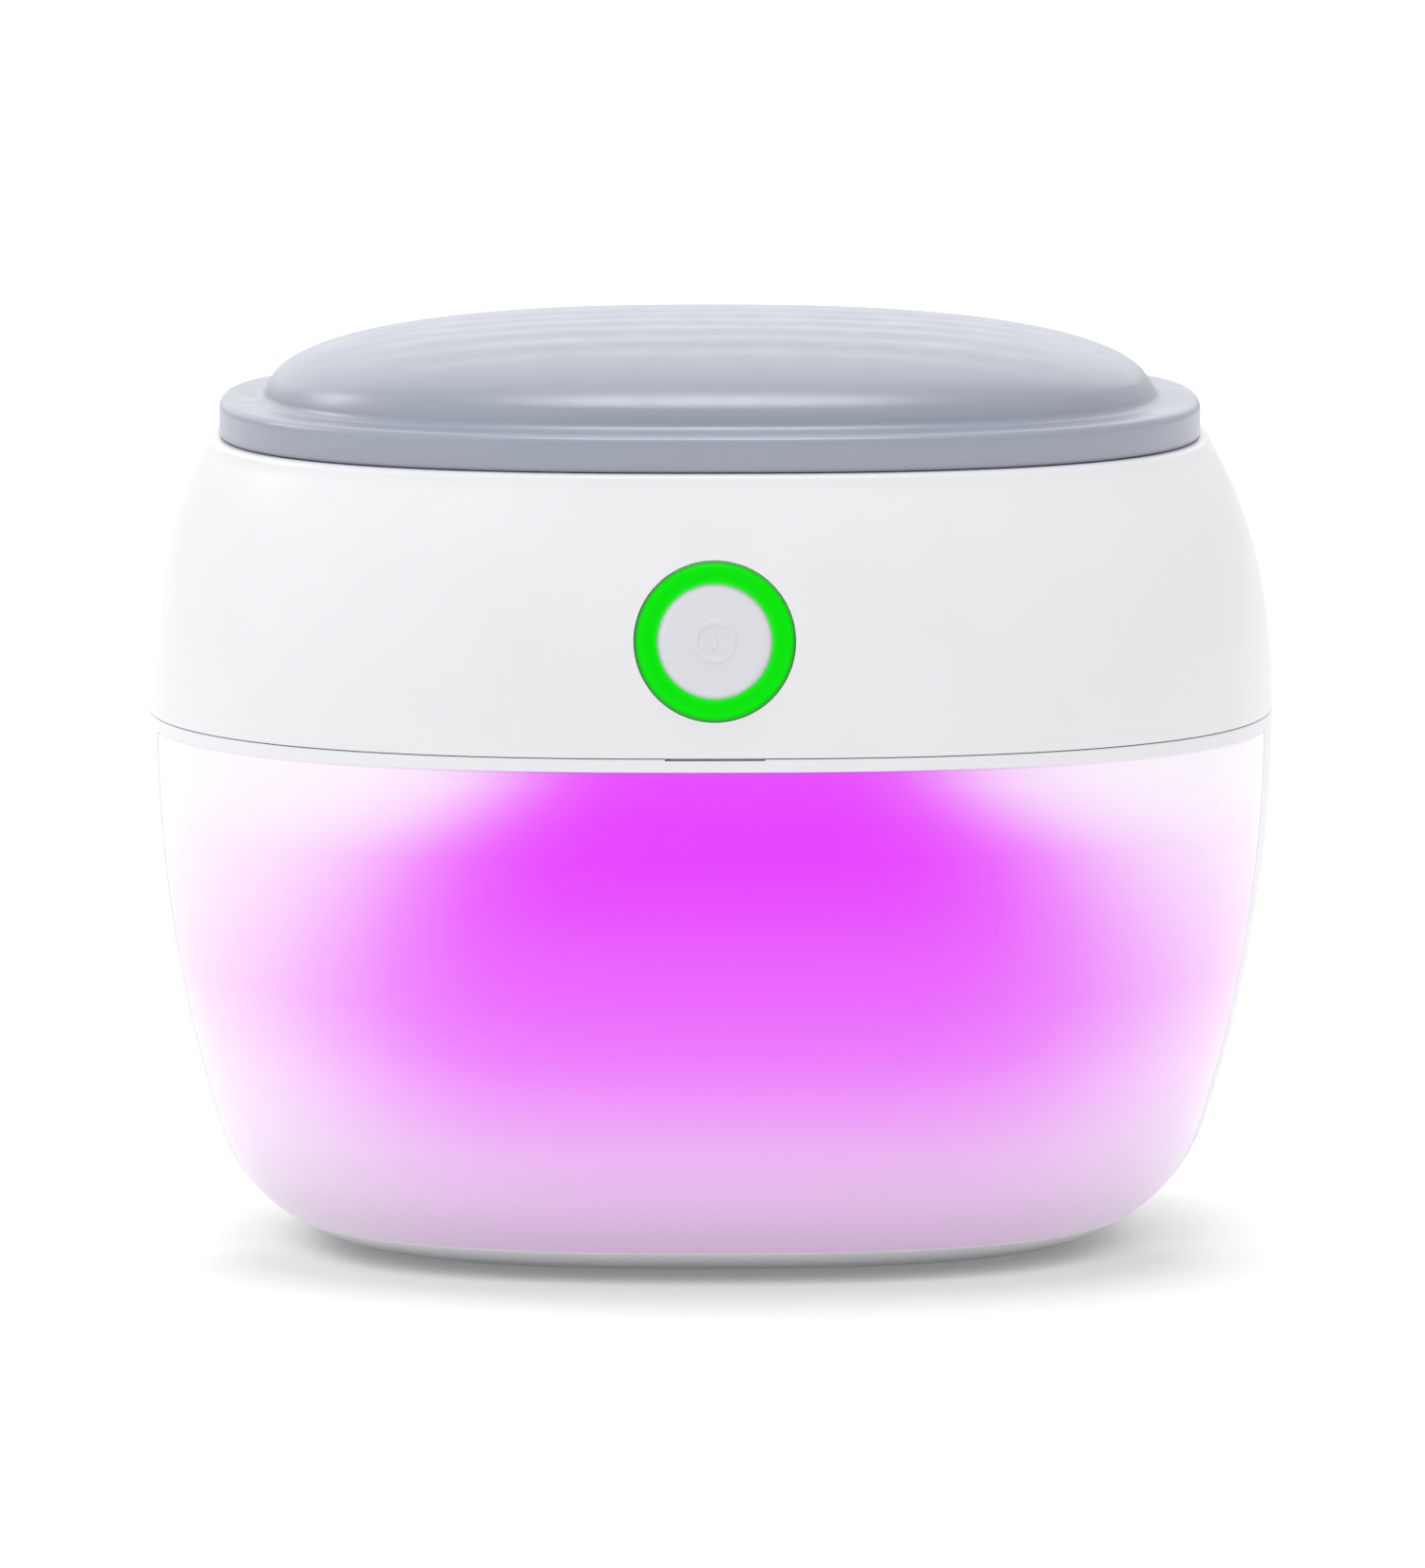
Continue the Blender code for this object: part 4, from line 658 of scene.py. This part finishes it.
def lower_shell():
    """The lower half, with the window's rebate and opening in the front of its wall."""
    top, bottom, left, right = window_bounds(0.0)
    top_in, bottom_in, left_in, right_in = window_bounds(WINDOW_LEDGE)
    first = lower_sweep_at(SEAM_Z - SEAM_GAP - LOWER_LIP)
    inner_end = lower_sweep_at(INNER_FLOOR_Z, WALL)
    angles = stepped((left, left_in, right_in, right), 0.0, math.tau, PLAN_STEPS)[:-1]
    side = stepped((top, top_in), first, SIDE_SWEEP, 22)
    corner = stepped((bottom_in, bottom), SIDE_SWEEP, lower_sweep_at(BASE_Z), 22)
    sweeps = side + corner[1:]
    bm = bmesh.new()

    def row(half_width, z):
        return [bm.verts.new(plan_point(half_width, half_width - DEPTH_INSET, z, a)) for a in angles]

    def face_point(sweep, angle):
        deep = top < sweep < bottom and left < angle < right
        width, z = lower_point(sweep, WINDOW_THICKNESS + CLEARANCE if deep else 0.0)
        return bm.verts.new(plan_point(width, width - DEPTH_INSET, z, angle))

    outer = [[face_point(s, a) for a in angles] for s in sweeps]
    inner_sweeps = [s for s in sweeps if s < inner_end]
    inner = [row(*lower_point(s, WALL)) for s in inner_sweeps]
    lip = [row(HALF_WIDTH - LOWER_LIP, SEAM_Z - SEAM_GAP), row(HALF_WIDTH - WALL, SEAM_Z - SEAM_GAP)]
    foot = [row(BASE_HOLE, BASE_Z), row(BASE_HOLE, BASE_LEDGE_Z), row(BASE_LEDGE, BASE_LEDGE_Z)]
    foot += [row(BASE_LEDGE, INNER_FLOOR_Z), row(lower_point(inner_end, WALL)[0], INNER_FLOOR_Z)]
    steps = len(angles)

    def open_at(r, c):
        if not (top_in < sweeps[r] < bottom_in and left_in < angles[c] < right_in):
            return False
        last = r + 1 == len(sweeps)
        return not last and sweeps[r + 1] < bottom_in and angles[(c + 1) % steps] < right_in

    def skin(rows, flip, holes):
        for r in range(len(rows) - 1):
            for c in range(steps):
                if holes and open_at(r, c):
                    continue
                d = (c + 1) % steps
                quad = (rows[r][c], rows[r][d], rows[r + 1][d], rows[r + 1][c])
                bm.faces.new(quad[::-1] if flip else quad)

    skin(outer, False, True)
    skin(inner, True, True)
    chains = ([lip[1], lip[0], outer[0]], [outer[-1], *foot], [inner[-1], foot[-1]], [inner[0], lip[1]])
    for chain in chains:
        skin(chain, False, False)
    edges = [e for e in bm.edges if len(e.link_faces) == 1]
    bridge(bm, edges, outer, inner)
    bmesh.ops.remove_doubles(bm, verts=bm.verts, dist=1e-7)
    shell = new_object("lower_shell", bm)
    apply_cut(shell, block("notch", NOTCH, (0.0, DEPTH_INSET - HALF_WIDTH, SEAM_Z)))
    apply_cut(shell, at_inlet(bore("inlet_bore", INLET_BORE, INLET_BORE_REACH, 64)))
    stand_for(shell, "base", SHELL_LOW, "shell_white", "lower_housing")


def at_inlet(obj):
    """Moves a piece made about its own axis to the inlet, in the middle of the back wall."""
    wall_y = lower_point(lower_sweep_at(INLET_Z))[0] - DEPTH_INSET
    obj.data.transform(Matrix.Translation((0, wall_y, INLET_Z)) @ Matrix.Rotation(-math.pi / 2, 4, "X"))
    return obj


def bridge(bm, edges, outer, inner):
    """Walls of the opening: joins each open edge of the outer face to the same one of the inner face."""
    partner = {}
    for r, row in enumerate(inner):
        for c, vert in enumerate(row):
            partner[outer[r][c]] = vert
    for edge in edges:
        a, b = edge.verts
        if a in partner and b in partner:
            bm.faces.new((a, b, partner[b], partner[a]))


def block(name, size, centre):
    bm = bmesh.new()
    bmesh.ops.create_cube(bm, size=1.0)
    bmesh.ops.scale(bm, vec=Vector(size), verts=bm.verts)
    bmesh.ops.translate(bm, vec=Vector(centre), verts=bm.verts)
    return new_object(name, bm)


WINDOW_GAP = 0.00012
WINDOW_SOFT = 0.00025


def window_panel():
    """The frosted panel, with softened edges."""
    top, bottom, left, right = window_bounds(WINDOW_GAP)
    soft = WINDOW_SOFT
    rows = edge_rows(top, bottom, soft / SIDE_RADIUS, soft / CORNER_RADIUS, 40)
    half_depth = HALF_WIDTH - DEPTH_INSET
    columns = edge_rows(left, right, soft / half_depth, soft / half_depth, 150)
    bm = bmesh.new()

    def grid(depth, soften):
        points = []
        for sweep, sink_v in rows:
            line = []
            for angle, sink_h in columns:
                sunk = depth + (max(sink_v, sink_h) * soft if soften else 0.0)
                width, z = lower_point(sweep, sunk)
                line.append(bm.verts.new(plan_point(width, width - DEPTH_INSET, z, angle)))
            points.append(line)
        return points

    front, back = grid(0.0, True), grid(WINDOW_THICKNESS, False)
    for side in (front, back):
        for a, b in zip(side, side[1:]):
            for c in range(len(a) - 1):
                bm.faces.new((a[c], a[c + 1], b[c + 1], b[c]))
    for r in (0, -1):
        for c in range(len(columns) - 1):
            bm.faces.new((front[r][c], front[r][c + 1], back[r][c + 1], back[r][c]))
    for c in (0, -1):
        for r in range(len(rows) - 1):
            bm.faces.new((front[r][c], front[r + 1][c], back[r + 1][c], back[r][c]))
    panel = new_object("front_window", bm)
    stand_for(panel, "base", WINDOW, "window_violet", "window_panel")
    panel.visible_diffuse = False  # its light doesn't tint the floor


def edge_rows(start, end, soft_start, soft_end, steps):
    """(place, sink) pairs: even steps, and a quarter round over each end's stretch; sink is 1 at the rim."""
    rounds = [(1 - math.cos(turn), 1 - math.sin(turn)) for turn in map(math.radians, (0, 30, 60, 90))]
    rows = [(start + soft_start * along, sink) for along, sink in rounds]
    rows += [(v, 0.0) for v in spread(start + soft_start, end - soft_end, steps)[1:-1]]
    rows += [(end - soft_end * along, sink) for along, sink in reversed(rounds)]
    return rows


# Shallow flutes across the dome, as their ridges' distances from the centre, front to back
RIDGES = (-0.0290, -0.0215, -0.0140, -0.0070, 0.0000, 0.0070)
FLUTE_DEPTH = 0.00014
FLUTE_FLAT = 0.020  # the flutes keep their depth to here, then run out
FLUTE_END = 0.049
FLUTE_FOOT = 0.0035  # above the flange: no flute below this
FLUTE_RISE = 0.0030  # and its full depth only this much higher


def flute(point, foot):
    """Sinks a point of the dome into its flute, and lets the flute run out sideways and down at its foot."""
    for near, far in zip(RIDGES, RIDGES[1:]):
        if near <= point.y <= far:
            share = (point.y - near) / (far - near)
            side = min(1.0, max(0.0, (FLUTE_END - abs(point.x)) / (FLUTE_END - FLUTE_FLAT)))
            side = side * side * (3 - 2 * side)
            side *= min(1.0, max(0.0, (point.z - foot) / FLUTE_RISE))
            point.z -= FLUTE_DEPTH * math.sin(math.pi * share) ** 2 * side
            break
    return point


FLANGE_UNDER_FILLET = 0.0004
FLANGE_INNER = 0.0022  # how far in from its edge the flange is flat
LID_ROOF = 0.0020
LID_INNER_FOOT = 0.0024
DOME_START = 12  # degrees of sweep: the foot's fillet covers what is below


def lid_shell():
    bottom = DECK_Z + LID_GAP
    top = DECK_Z + CLEARANCE + FLANGE_THICKNESS
    under, over = FLANGE_UNDER_FILLET, FLANGE_FILLET
    levels = [level(LINER_RIM + CLEARANCE, bottom)]
    levels += [level(w, z) for w, z in arc((FLANGE_HALF_WIDTH - under, bottom + under), under, -90, 0, 3)]
    levels += [level(w, z) for w, z in arc((FLANGE_HALF_WIDTH - over, top - over), over, 0, 90, 7)]
    levels += [level(FLANGE_HALF_WIDTH - FLANGE_INNER, top)]
    shift = DOME_HALF_WIDTH + FOOT_FILLET
    levels += [level(w, z) for w, z in arc((shift, top + FOOT_FILLET), FOOT_FILLET, -90, -170, 7)]
    levels += dome_levels(DOME_HALF_WIDTH, top, DOME_HEIGHT, DOME_START, 89.0, 150)
    inner_top = top + DOME_HEIGHT - LID_ROOF
    inner_foot = bottom + LID_INNER_FOOT
    inner = [level(LINER_RIM + CLEARANCE, inner_foot)]
    inner += dome_levels(LINER_RIM + CLEARANCE, inner_foot, inner_top - inner_foot, DOME_START, 78, 8)
    lid = loft("lid_cover", list(reversed(levels)) + inner, closed=False)
    foot = top + FLUTE_FOOT
    for vert in lid.data.vertices:
        if vert.co.z > foot and outer_face(vert.co, top):
            vert.co = flute(vert.co.copy(), foot)
    stand_for(lid, "lid", LID, "lid_grey", "lid_shell")


OUTER_FACE_WITHIN = 0.0004


def outer_face(point, top):
    """True for a point on the dome's outside, not on its inside."""
    ratio = (DOME_HALF_WIDTH - DEPTH_INSET) / DOME_HALF_WIDTH
    powers = abs(point.x) ** PLAN_EXPONENT + abs(point.y / ratio) ** PLAN_EXPONENT
    reach = min(1.0, powers ** (1 / PLAN_EXPONENT) / DOME_HALF_WIDTH)
    height = DOME_HEIGHT * (1 - reach**DOME_EXPONENT) ** (1 / DOME_EXPONENT)
    return abs(point.z - top - height) < OUTER_FACE_WITHIN


def dome_levels(half_width, foot_z, height, first, last, steps):
    """Levels of a dome between two sweeps in degrees."""
    ratio = (DOME_HALF_WIDTH - DEPTH_INSET) / DOME_HALF_WIDTH
    power = 2.0 / DOME_EXPONENT
    levels = []
    for degrees in spread(first, last, steps):
        sweep = math.radians(degrees)
        width = half_width * math.cos(sweep) ** power
        levels.append(level(width, foot_z + height * math.sin(sweep) ** power, width * ratio))
    return levels


# Profiles about the button's axis, in millimetres: (radius, height above the upper half's face)
RING_INSIDE = ((6.50, -3.2), (6.50, -0.62))
RING_CROWN = (
    (7.25, 0.30), (7.70, 0.42), (8.15, 0.34), (8.55, 0.12), (8.82, -0.15), (8.97, -0.45), (9.0, -0.8),
)
RING_BODY = ((9.02, -4.0), (10.6, -4.0), (10.6, -4.9), (9.05, -4.9), (9.05, -9.8), (7.5, -9.8), (7.5, -3.2))
CAP_FACE = 0.10
CAP_FLAT = (0.0, 2.4, 4.9, 5.50)
CAP_EDGE = 0.94
CAP_BODY = ((6.44, -1.0), (6.44, -3.5), (7.2, -3.5), (7.2, -4.4), (2.0, -4.4), (2.0, -6.1), (0, -6.1))


def turned_mm(name, profile, steps, **more):
    return turned(name, [(r * MM, z * MM) for r, z in profile], steps, **more)


def button():
    ring = [*RING_INSIDE, *arc((6.98, -0.34), 0.48, 185, 118, 5), *RING_CROWN, *RING_BODY]
    light_ring = at_button(turned_mm("glow_ring", ring, 128, closed=True, sharp=LATHE_CREASE))
    stand_for(light_ring, "base", RING, "ring_green", "light_ring")
    light_ring.visible_diffuse = False  # its light doesn't tint the cap
    top = [(r, CAP_FACE) for r in CAP_FLAT] + arc((CAP_FLAT[-1], CAP_FACE - CAP_EDGE), CAP_EDGE, 80, 8, 8)
    push_cap = at_button(turned_mm("push_cap", [*top, *CAP_BODY], 128, sharp=LATHE_CREASE))
    stand_for(push_cap, "button", CAP, "button_grey", "button_cap")
    mark = at_button(power_mark(CAP_FACE * MM))
    stand_for(mark, "button", CAP, "button_grey")


MARK_RADIUS = 0.00215
MARK_HALF = 0.00038
MARK_TOP = 0.45  # its flat top's share of that
MARK_RAISED = 0.00013
MARK_SUNK = -0.00005
MARK_BAR = (-0.00080, 0.00060)  # its lower and upper end


def power_mark(height):
    """A raised ring with a short bar inside, both with bevelled edges, sunk a little into the cap."""
    bm = bmesh.new()
    inner = MARK_HALF * MARK_TOP
    section = [(-MARK_HALF, MARK_SUNK), (-inner, MARK_RAISED), (inner, MARK_RAISED), (MARK_HALF, MARK_SUNK)]
    rings = []
    for turn in spread(0, math.tau, 72)[:-1]:
        across = [(MARK_RADIUS + a, height + b) for a, b in section]
        rings.append([bm.verts.new((r * math.cos(turn), r * math.sin(turn), z)) for r, z in across])
    for first, second in zip(rings, rings[1:] + rings[:1]):
        for i in range(4):
            j = (i + 1) % 4
            bm.faces.new((first[i], first[j], second[j], second[i]))
    ends = [[bm.verts.new((a, y, height + b)) for a, b in section] for y in MARK_BAR]
    for i in range(4):
        j = (i + 1) % 4
        bm.faces.new((ends[0][i], ends[0][j], ends[1][j], ends[1][i]))
    bm.faces.new(ends[0])
    bm.faces.new(ends[1])
    return new_object("button_mark", bm)


BASIN_WALL = 0.0018
BASIN_MOUTH = 0.0436
BASIN_RIM_Z = 0.0934
BASIN_RIM_CHAMFER = (0.0004, 0.0005)  # of the rim's outer and inner edge
BASIN_FLANGE = 0.0525
BASIN_FLANGE_Z = 0.0900
BASIN_FLANGE_FILLET = 0.0006
BASIN_FOOT = 0.0398
BASIN_FOOT_Z = 0.0440
BASIN_FLOOR_Z = 0.0340
BASIN_FLOOR_THICKNESS = 0.0020
BASIN_FLOOR_WIDTHS = (0.0345, 0.0340)  # half widths where the floor goes flat, outside and inside
BASIN_HOLE = 0.0160  # the radiating plate closes it


def basin():
    """The tank: a rim, a flange under the deck, straight walls and a rounded foot round the plate's hole."""
    outer = BASIN_MOUTH + BASIN_WALL
    under_z = BASIN_FLANGE_Z - BASIN_WALL
    chamfer_out, chamfer_in = BASIN_RIM_CHAMFER
    floor_top = BASIN_FLOOR_Z + BASIN_FLOOR_THICKNESS
    floor_outside, floor_inside = BASIN_FLOOR_WIDTHS
    levels = [level(BASIN_MOUTH + chamfer_in, BASIN_RIM_Z), level(outer - chamfer_out, BASIN_RIM_Z)]
    levels += [level(outer, BASIN_RIM_Z - chamfer_out), level(outer, BASIN_FLANGE_Z)]
    levels += [level(BASIN_FLANGE, BASIN_FLANGE_Z), level(BASIN_FLANGE, under_z)]
    levels += [level(outer + BASIN_FLANGE_FILLET, under_z), level(outer, under_z - BASIN_FLANGE_FILLET)]
    levels += corner_levels(BASIN_FOOT + BASIN_WALL, BASIN_FOOT_Z, floor_outside, BASIN_FLOOR_Z, 8)
    levels += [level(BASIN_HOLE, z, BASIN_HOLE, 2.0) for z in (BASIN_FLOOR_Z, floor_top)]
    levels += reversed(corner_levels(BASIN_FOOT, BASIN_FOOT_Z, floor_inside, floor_top, 8))
    levels += [level(BASIN_MOUTH, under_z), level(BASIN_MOUTH, BASIN_RIM_Z - chamfer_in)]
    tank = loft("basin", levels, closed=True, steps=160, sharp=LATHE_CREASE)
    stand_for(tank, "base", BASIN, "basin_clear", "tank")


def corner_levels(width, width_z, floor_width, floor_z, steps):
    """Levels of a rounded corner from a wall down to a floor, a quarter of an ellipse."""
    across, down = width - floor_width, width_z - floor_z
    turns = [math.radians(90 * i / steps) for i in range(steps + 1)]
    return [level(floor_width + across * math.cos(t), width_z - down * math.sin(t)) for t in turns]


LINER_THICKNESS = 0.0017
LINER_PLUG = 0.0424
LINER_FLOOR_Z = 0.0885
LINER_GROOVE = 0.0010
LINER_GROOVE_Z = (0.0903, 0.0923)
LINER_FILLET = 0.0010
LINER_INNER_RISE = (0.0008, 0.0040)  # where the inner corner is cut, and where its wall begins
LINER_INNER_CUTS = (0.0030, 0.0008)
LINER_DRAFT = 0.0004


def liner():
    """The lid's inner cup: a rim that rests on the deck and a grooved plug that reaches into the basin."""
    rim_bottom = DECK_Z + CLEARANCE
    top = rim_bottom + LINER_THICKNESS
    plug, floor_z = LINER_PLUG, LINER_FLOOR_Z
    low, high = LINER_GROOVE_Z
    inner = plug - LINER_THICKNESS
    corner_z, wall_z = LINER_INNER_RISE
    wide_cut, corner_cut = LINER_INNER_CUTS
    inner_floor_z = floor_z + LINER_THICKNESS
    levels = [level(inner - wide_cut, inner_floor_z), level(inner - corner_cut, inner_floor_z + corner_z)]
    levels += [level(inner, floor_z + wall_z), level(inner - LINER_DRAFT, top), level(LINER_RIM, top)]
    levels += [level(LINER_RIM, rim_bottom), level(plug, rim_bottom), level(plug, high)]
    levels += [level(plug - LINER_GROOVE, high), level(plug - LINER_GROOVE, low), level(plug, low)]
    centre = (plug - LINER_FILLET, floor_z + LINER_FILLET)
    levels += [level(w, z) for w, z in arc(centre, LINER_FILLET, 0, -90, 5)]
    stand_for(loft("lid_inner", levels, closed=False, steps=160), "lid", LINER, "liner_white", "lid_liner")


# About the inlet's axis, in millimetres: (radius, height above the back wall)
INLET_PIN = ((0.0, -1.2), (0.5, -1.3), (0.8, -1.6), (0.9, -2.1), (0.9, -9.0))
INLET_COLLAR = ((2.9, -9.0), (2.9, -0.2), (3.2, 0.15), (3.9, 0.15), (4.2, -0.1), (4.3, -3.4))
INLET_BODY = ((5.5, -3.4), (5.5, -13.0), (0.0, -13.0))


def inlet():
    jack = at_inlet(turned_mm("power_jack", [*INLET_PIN, *INLET_COLLAR, *INLET_BODY], 72))
    stand_for(jack, "base", BLACK, "black_plastic", "power_inlet")


SCREW_HEAD = 0.0024
SCREW_HEAD_HEIGHT = 0.0010
SCREW_SHANK = 0.0011
SCREW_PITCH = 0.0008
THREAD_CREST, THREAD_ROOT = 0.35, 0.7  # how far along each turn
THREAD_DEPTH = 0.8
RECESS = (1.1, 0.28)  # the cross recess's length and width, against the head's radius
RECESS_DEPTH = 1.1  # against the head's height, half of it above the face


def screw(name, node):
    """A pan-head screw with a cross recess, in the place of a CAD screw whose head points down."""
    low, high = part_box(node)
    head, head_height, shank, pitch = SCREW_HEAD, SCREW_HEAD_HEIGHT, SCREW_SHANK, SCREW_PITCH
    length = high.z - low.z - head_height
    profile = [(0, 0), (head * 0.45, 0), (head * 0.72, 0.08 * head), (head * 0.93, 0.3 * head)]
    profile += [(head, head_height), (shank, head_height)]
    for i in range(int((length - shank) / pitch)):
        z = head_height + i * pitch
        profile += [(shank, z + pitch * THREAD_CREST), (shank * THREAD_DEPTH, z + pitch * THREAD_ROOT)]
    profile += [(shank * THREAD_DEPTH, head_height + length - shank), (0, head_height + length)]
    piece = turned(name, profile, 24)
    centre = (low + high) / 2
    place = Matrix.Translation((centre.x, centre.y, low.z))
    piece.data.transform(place)
    for turn in (0, 90):
        arm = block("arm", (head * RECESS[0], head * RECESS[1], head_height * RECESS_DEPTH), (0, 0, 0))
        arm.data.transform(place @ Matrix.Rotation(math.radians(turn), 4, "Z"))
        apply_cut(piece, arm)
    stand_for(piece, "base", ZINC, "zinc_screw", node)


FOOT_EDGE = 0.0006
FOOT_RECESS_DEPTH = 0.00018


def feet():
    """Four rubber feet, each with a rounded edge and a shallow ring-shaped recess in its sole."""
    for number in range(1, 5):
        node = f"foot_{number}"
        low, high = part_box(node)
        centre = (low + high) / 2
        radius = (high.x - low.x) / 2
        tall, edge, sunk = high.z - low.z, FOOT_EDGE, FOOT_RECESS_DEPTH
        profile = [(0, tall), (radius, tall), (radius, edge), *arc((radius - edge, edge), edge, 0, -90, 4)]
        profile += [(radius * 0.62, 0), (radius * 0.58, sunk), (radius * 0.20, sunk)]
        profile += [(radius * 0.16, 0), (0, 0)]
        foot = turned(f"rubber_foot_{number}", profile, 48)
        foot.data.transform(Matrix.Translation((centre.x, centre.y, low.z)))
        stand_for(foot, "base", RUBBER, "rubber", node)


upper_shell()
lower_shell()
window_panel()
lid_shell()
button()
basin()
liner()
inlet()
feet()
for n in range(1, 5):
    screw(f"base_cover_screw_{n}", f"base_screw_{n}")

# The CAD nodes that stay, by material
KEPT = {
    SHELL: ("base_cover",),
    SILICONE: ("lid_gasket", "tank_gasket", "transducer_seal"),
    STEEL: ("radiating_plate",),
    CERAMIC: ("piezo_disc",),
    BLACK: ("tact_switch", "switch_plunger", "lid_sensor", "power_transistor"),
    FERRITE: ("transformer",),
    COPPER: ("inductor",),
    ALUMINIUM: ("clamp_ring", "heat_sink"),
    LENS: tuple(f"ring_led_{n}" for n in range(1, 5)) + tuple(f"uv_led_{n}" for n in range(1, 4)),
    MAGNET: ("lid_magnet",),
    RED_SLEEVE: ("transducer_wire_red",),
    BLACK_SLEEVE: ("transducer_wire_black", "inlet_cable", "capacitor"),
    NYLON: (
        "uv_holder", "transducer_connector", "control_connector", "inlet_connector", "control_cable",
    ),
    BOARD: ("driver_board", "control_board", "uv_board"),
    ZINC: ("board_screw_1", "board_screw_2")
    + tuple(f"tank_screw_{n}" for n in range(1, 5))
    + tuple(f"transducer_screw_{n}" for n in range(1, 4)),
}
for held, names in KEPT.items():
    for node_name in names:
        mesh = dress(NODES[node_name], held).data
        mesh.shade_smooth()
        mesh.set_sharp_from_angle(angle=math.radians(CREASE))


# --- Floor, light and camera ---


FLOOR_GLOW = 0.15  # the table is lit a little from below
FLOOR_HALF = 6.0
FLOOR_PALES = ((0.85, 0.85, 0.85), (0.87, 0.87, 0.87))


def floor():
    bm = bmesh.new()
    bmesh.ops.create_grid(bm, x_segments=2, y_segments=2, size=FLOOR_HALF)
    plane = new_object("floor", bm)
    material, tree, shader = blank("floor_white")
    pale = mixed(tree, ranged(tree, noise(tree, 0.2, 2.0), 0, 1), *FLOOR_PALES)
    tree.links.new(pale, shader.inputs["Base Color"])
    shader.inputs["Emission Color"].default_value = (1, 1, 1, 1)
    shader.inputs["Emission Strength"].default_value = FLOOR_GLOW
    shader.inputs["Roughness"].default_value = 0.9
    shader.inputs["Specular IOR Level"].default_value = 0.0
    dress(plane, material)


def soft_sun(name, direction, strength, angle):
    """A soft light from far away. direction points from the object to the light."""
    light = bpy.data.lights.new(name, "SUN")
    light.energy = strength
    light.angle = math.radians(angle)
    obj = bpy.data.objects.new(name, light)
    bpy.context.scene.collection.objects.link(obj)
    obj.rotation_euler = Vector(direction).to_track_quat("Z", "Y").to_euler()


WORLD_LIGHT = 0.84
# Name, where it shines from, strength, and how wide it is in degrees
SUNS = (
    ("key_left", (-0.75, -0.45, 0.45), 0.36, 70),
    ("back", (-0.05, 0.85, 0.52), 0.50, 60),
    ("back_left", (-0.70, 0.42, 0.58), 0.34, 20),
    ("overhead", (0.0, -0.06, 1.0), 0.95, 28),
)


def lights():
    world = bpy.data.worlds.new("studio")
    world.use_nodes = True
    background = world.node_tree.nodes["Background"]
    background.inputs["Color"].default_value = (1, 1, 1, 1)
    background.inputs["Strength"].default_value = WORLD_LIGHT
    bpy.context.scene.world = world
    for name, direction, strength, angle in SUNS:
        soft_sun(name, direction, strength, angle)


# The photo's camera, fitted to the flange, the seam and the base
SEAM_DISTANCE = 1.605
ELEVATION = math.radians(7.08)
AZIMUTH = math.radians(-0.62)  # a little to the left of square
FOCAL_PIXELS = 14581.0
FRAME = (1500, 1650)
SEAM_IN_FRAME = (747.0, 735.9)
SENSOR = 36.0
CLIP = (0.05, 50.0)


def camera():
    data = bpy.data.cameras.new("camera")
    data.sensor_width = SENSOR
    data.lens = FOCAL_PIXELS * data.sensor_width / FRAME[1]
    data.clip_start, data.clip_end = CLIP
    data.shift_x = (FRAME[0] / 2 - SEAM_IN_FRAME[0]) / FRAME[1]
    data.shift_y = (SEAM_IN_FRAME[1] - FRAME[1] / 2) / FRAME[1]
    obj = bpy.data.objects.new("camera", data)
    bpy.context.scene.collection.objects.link(obj)
    seam = Vector((0, 0, SEAM_Z))
    flat = math.cos(ELEVATION)
    away = Vector((flat * math.sin(AZIMUTH), -flat * math.cos(AZIMUTH), math.sin(ELEVATION)))
    obj.location = seam + SEAM_DISTANCE * away
    obj.rotation_euler = (math.pi / 2 - ELEVATION, 0, AZIMUTH)
    bpy.context.scene.camera = obj


floor()
lights()
camera()
bpy.context.scene.view_settings.view_transform = "Standard"
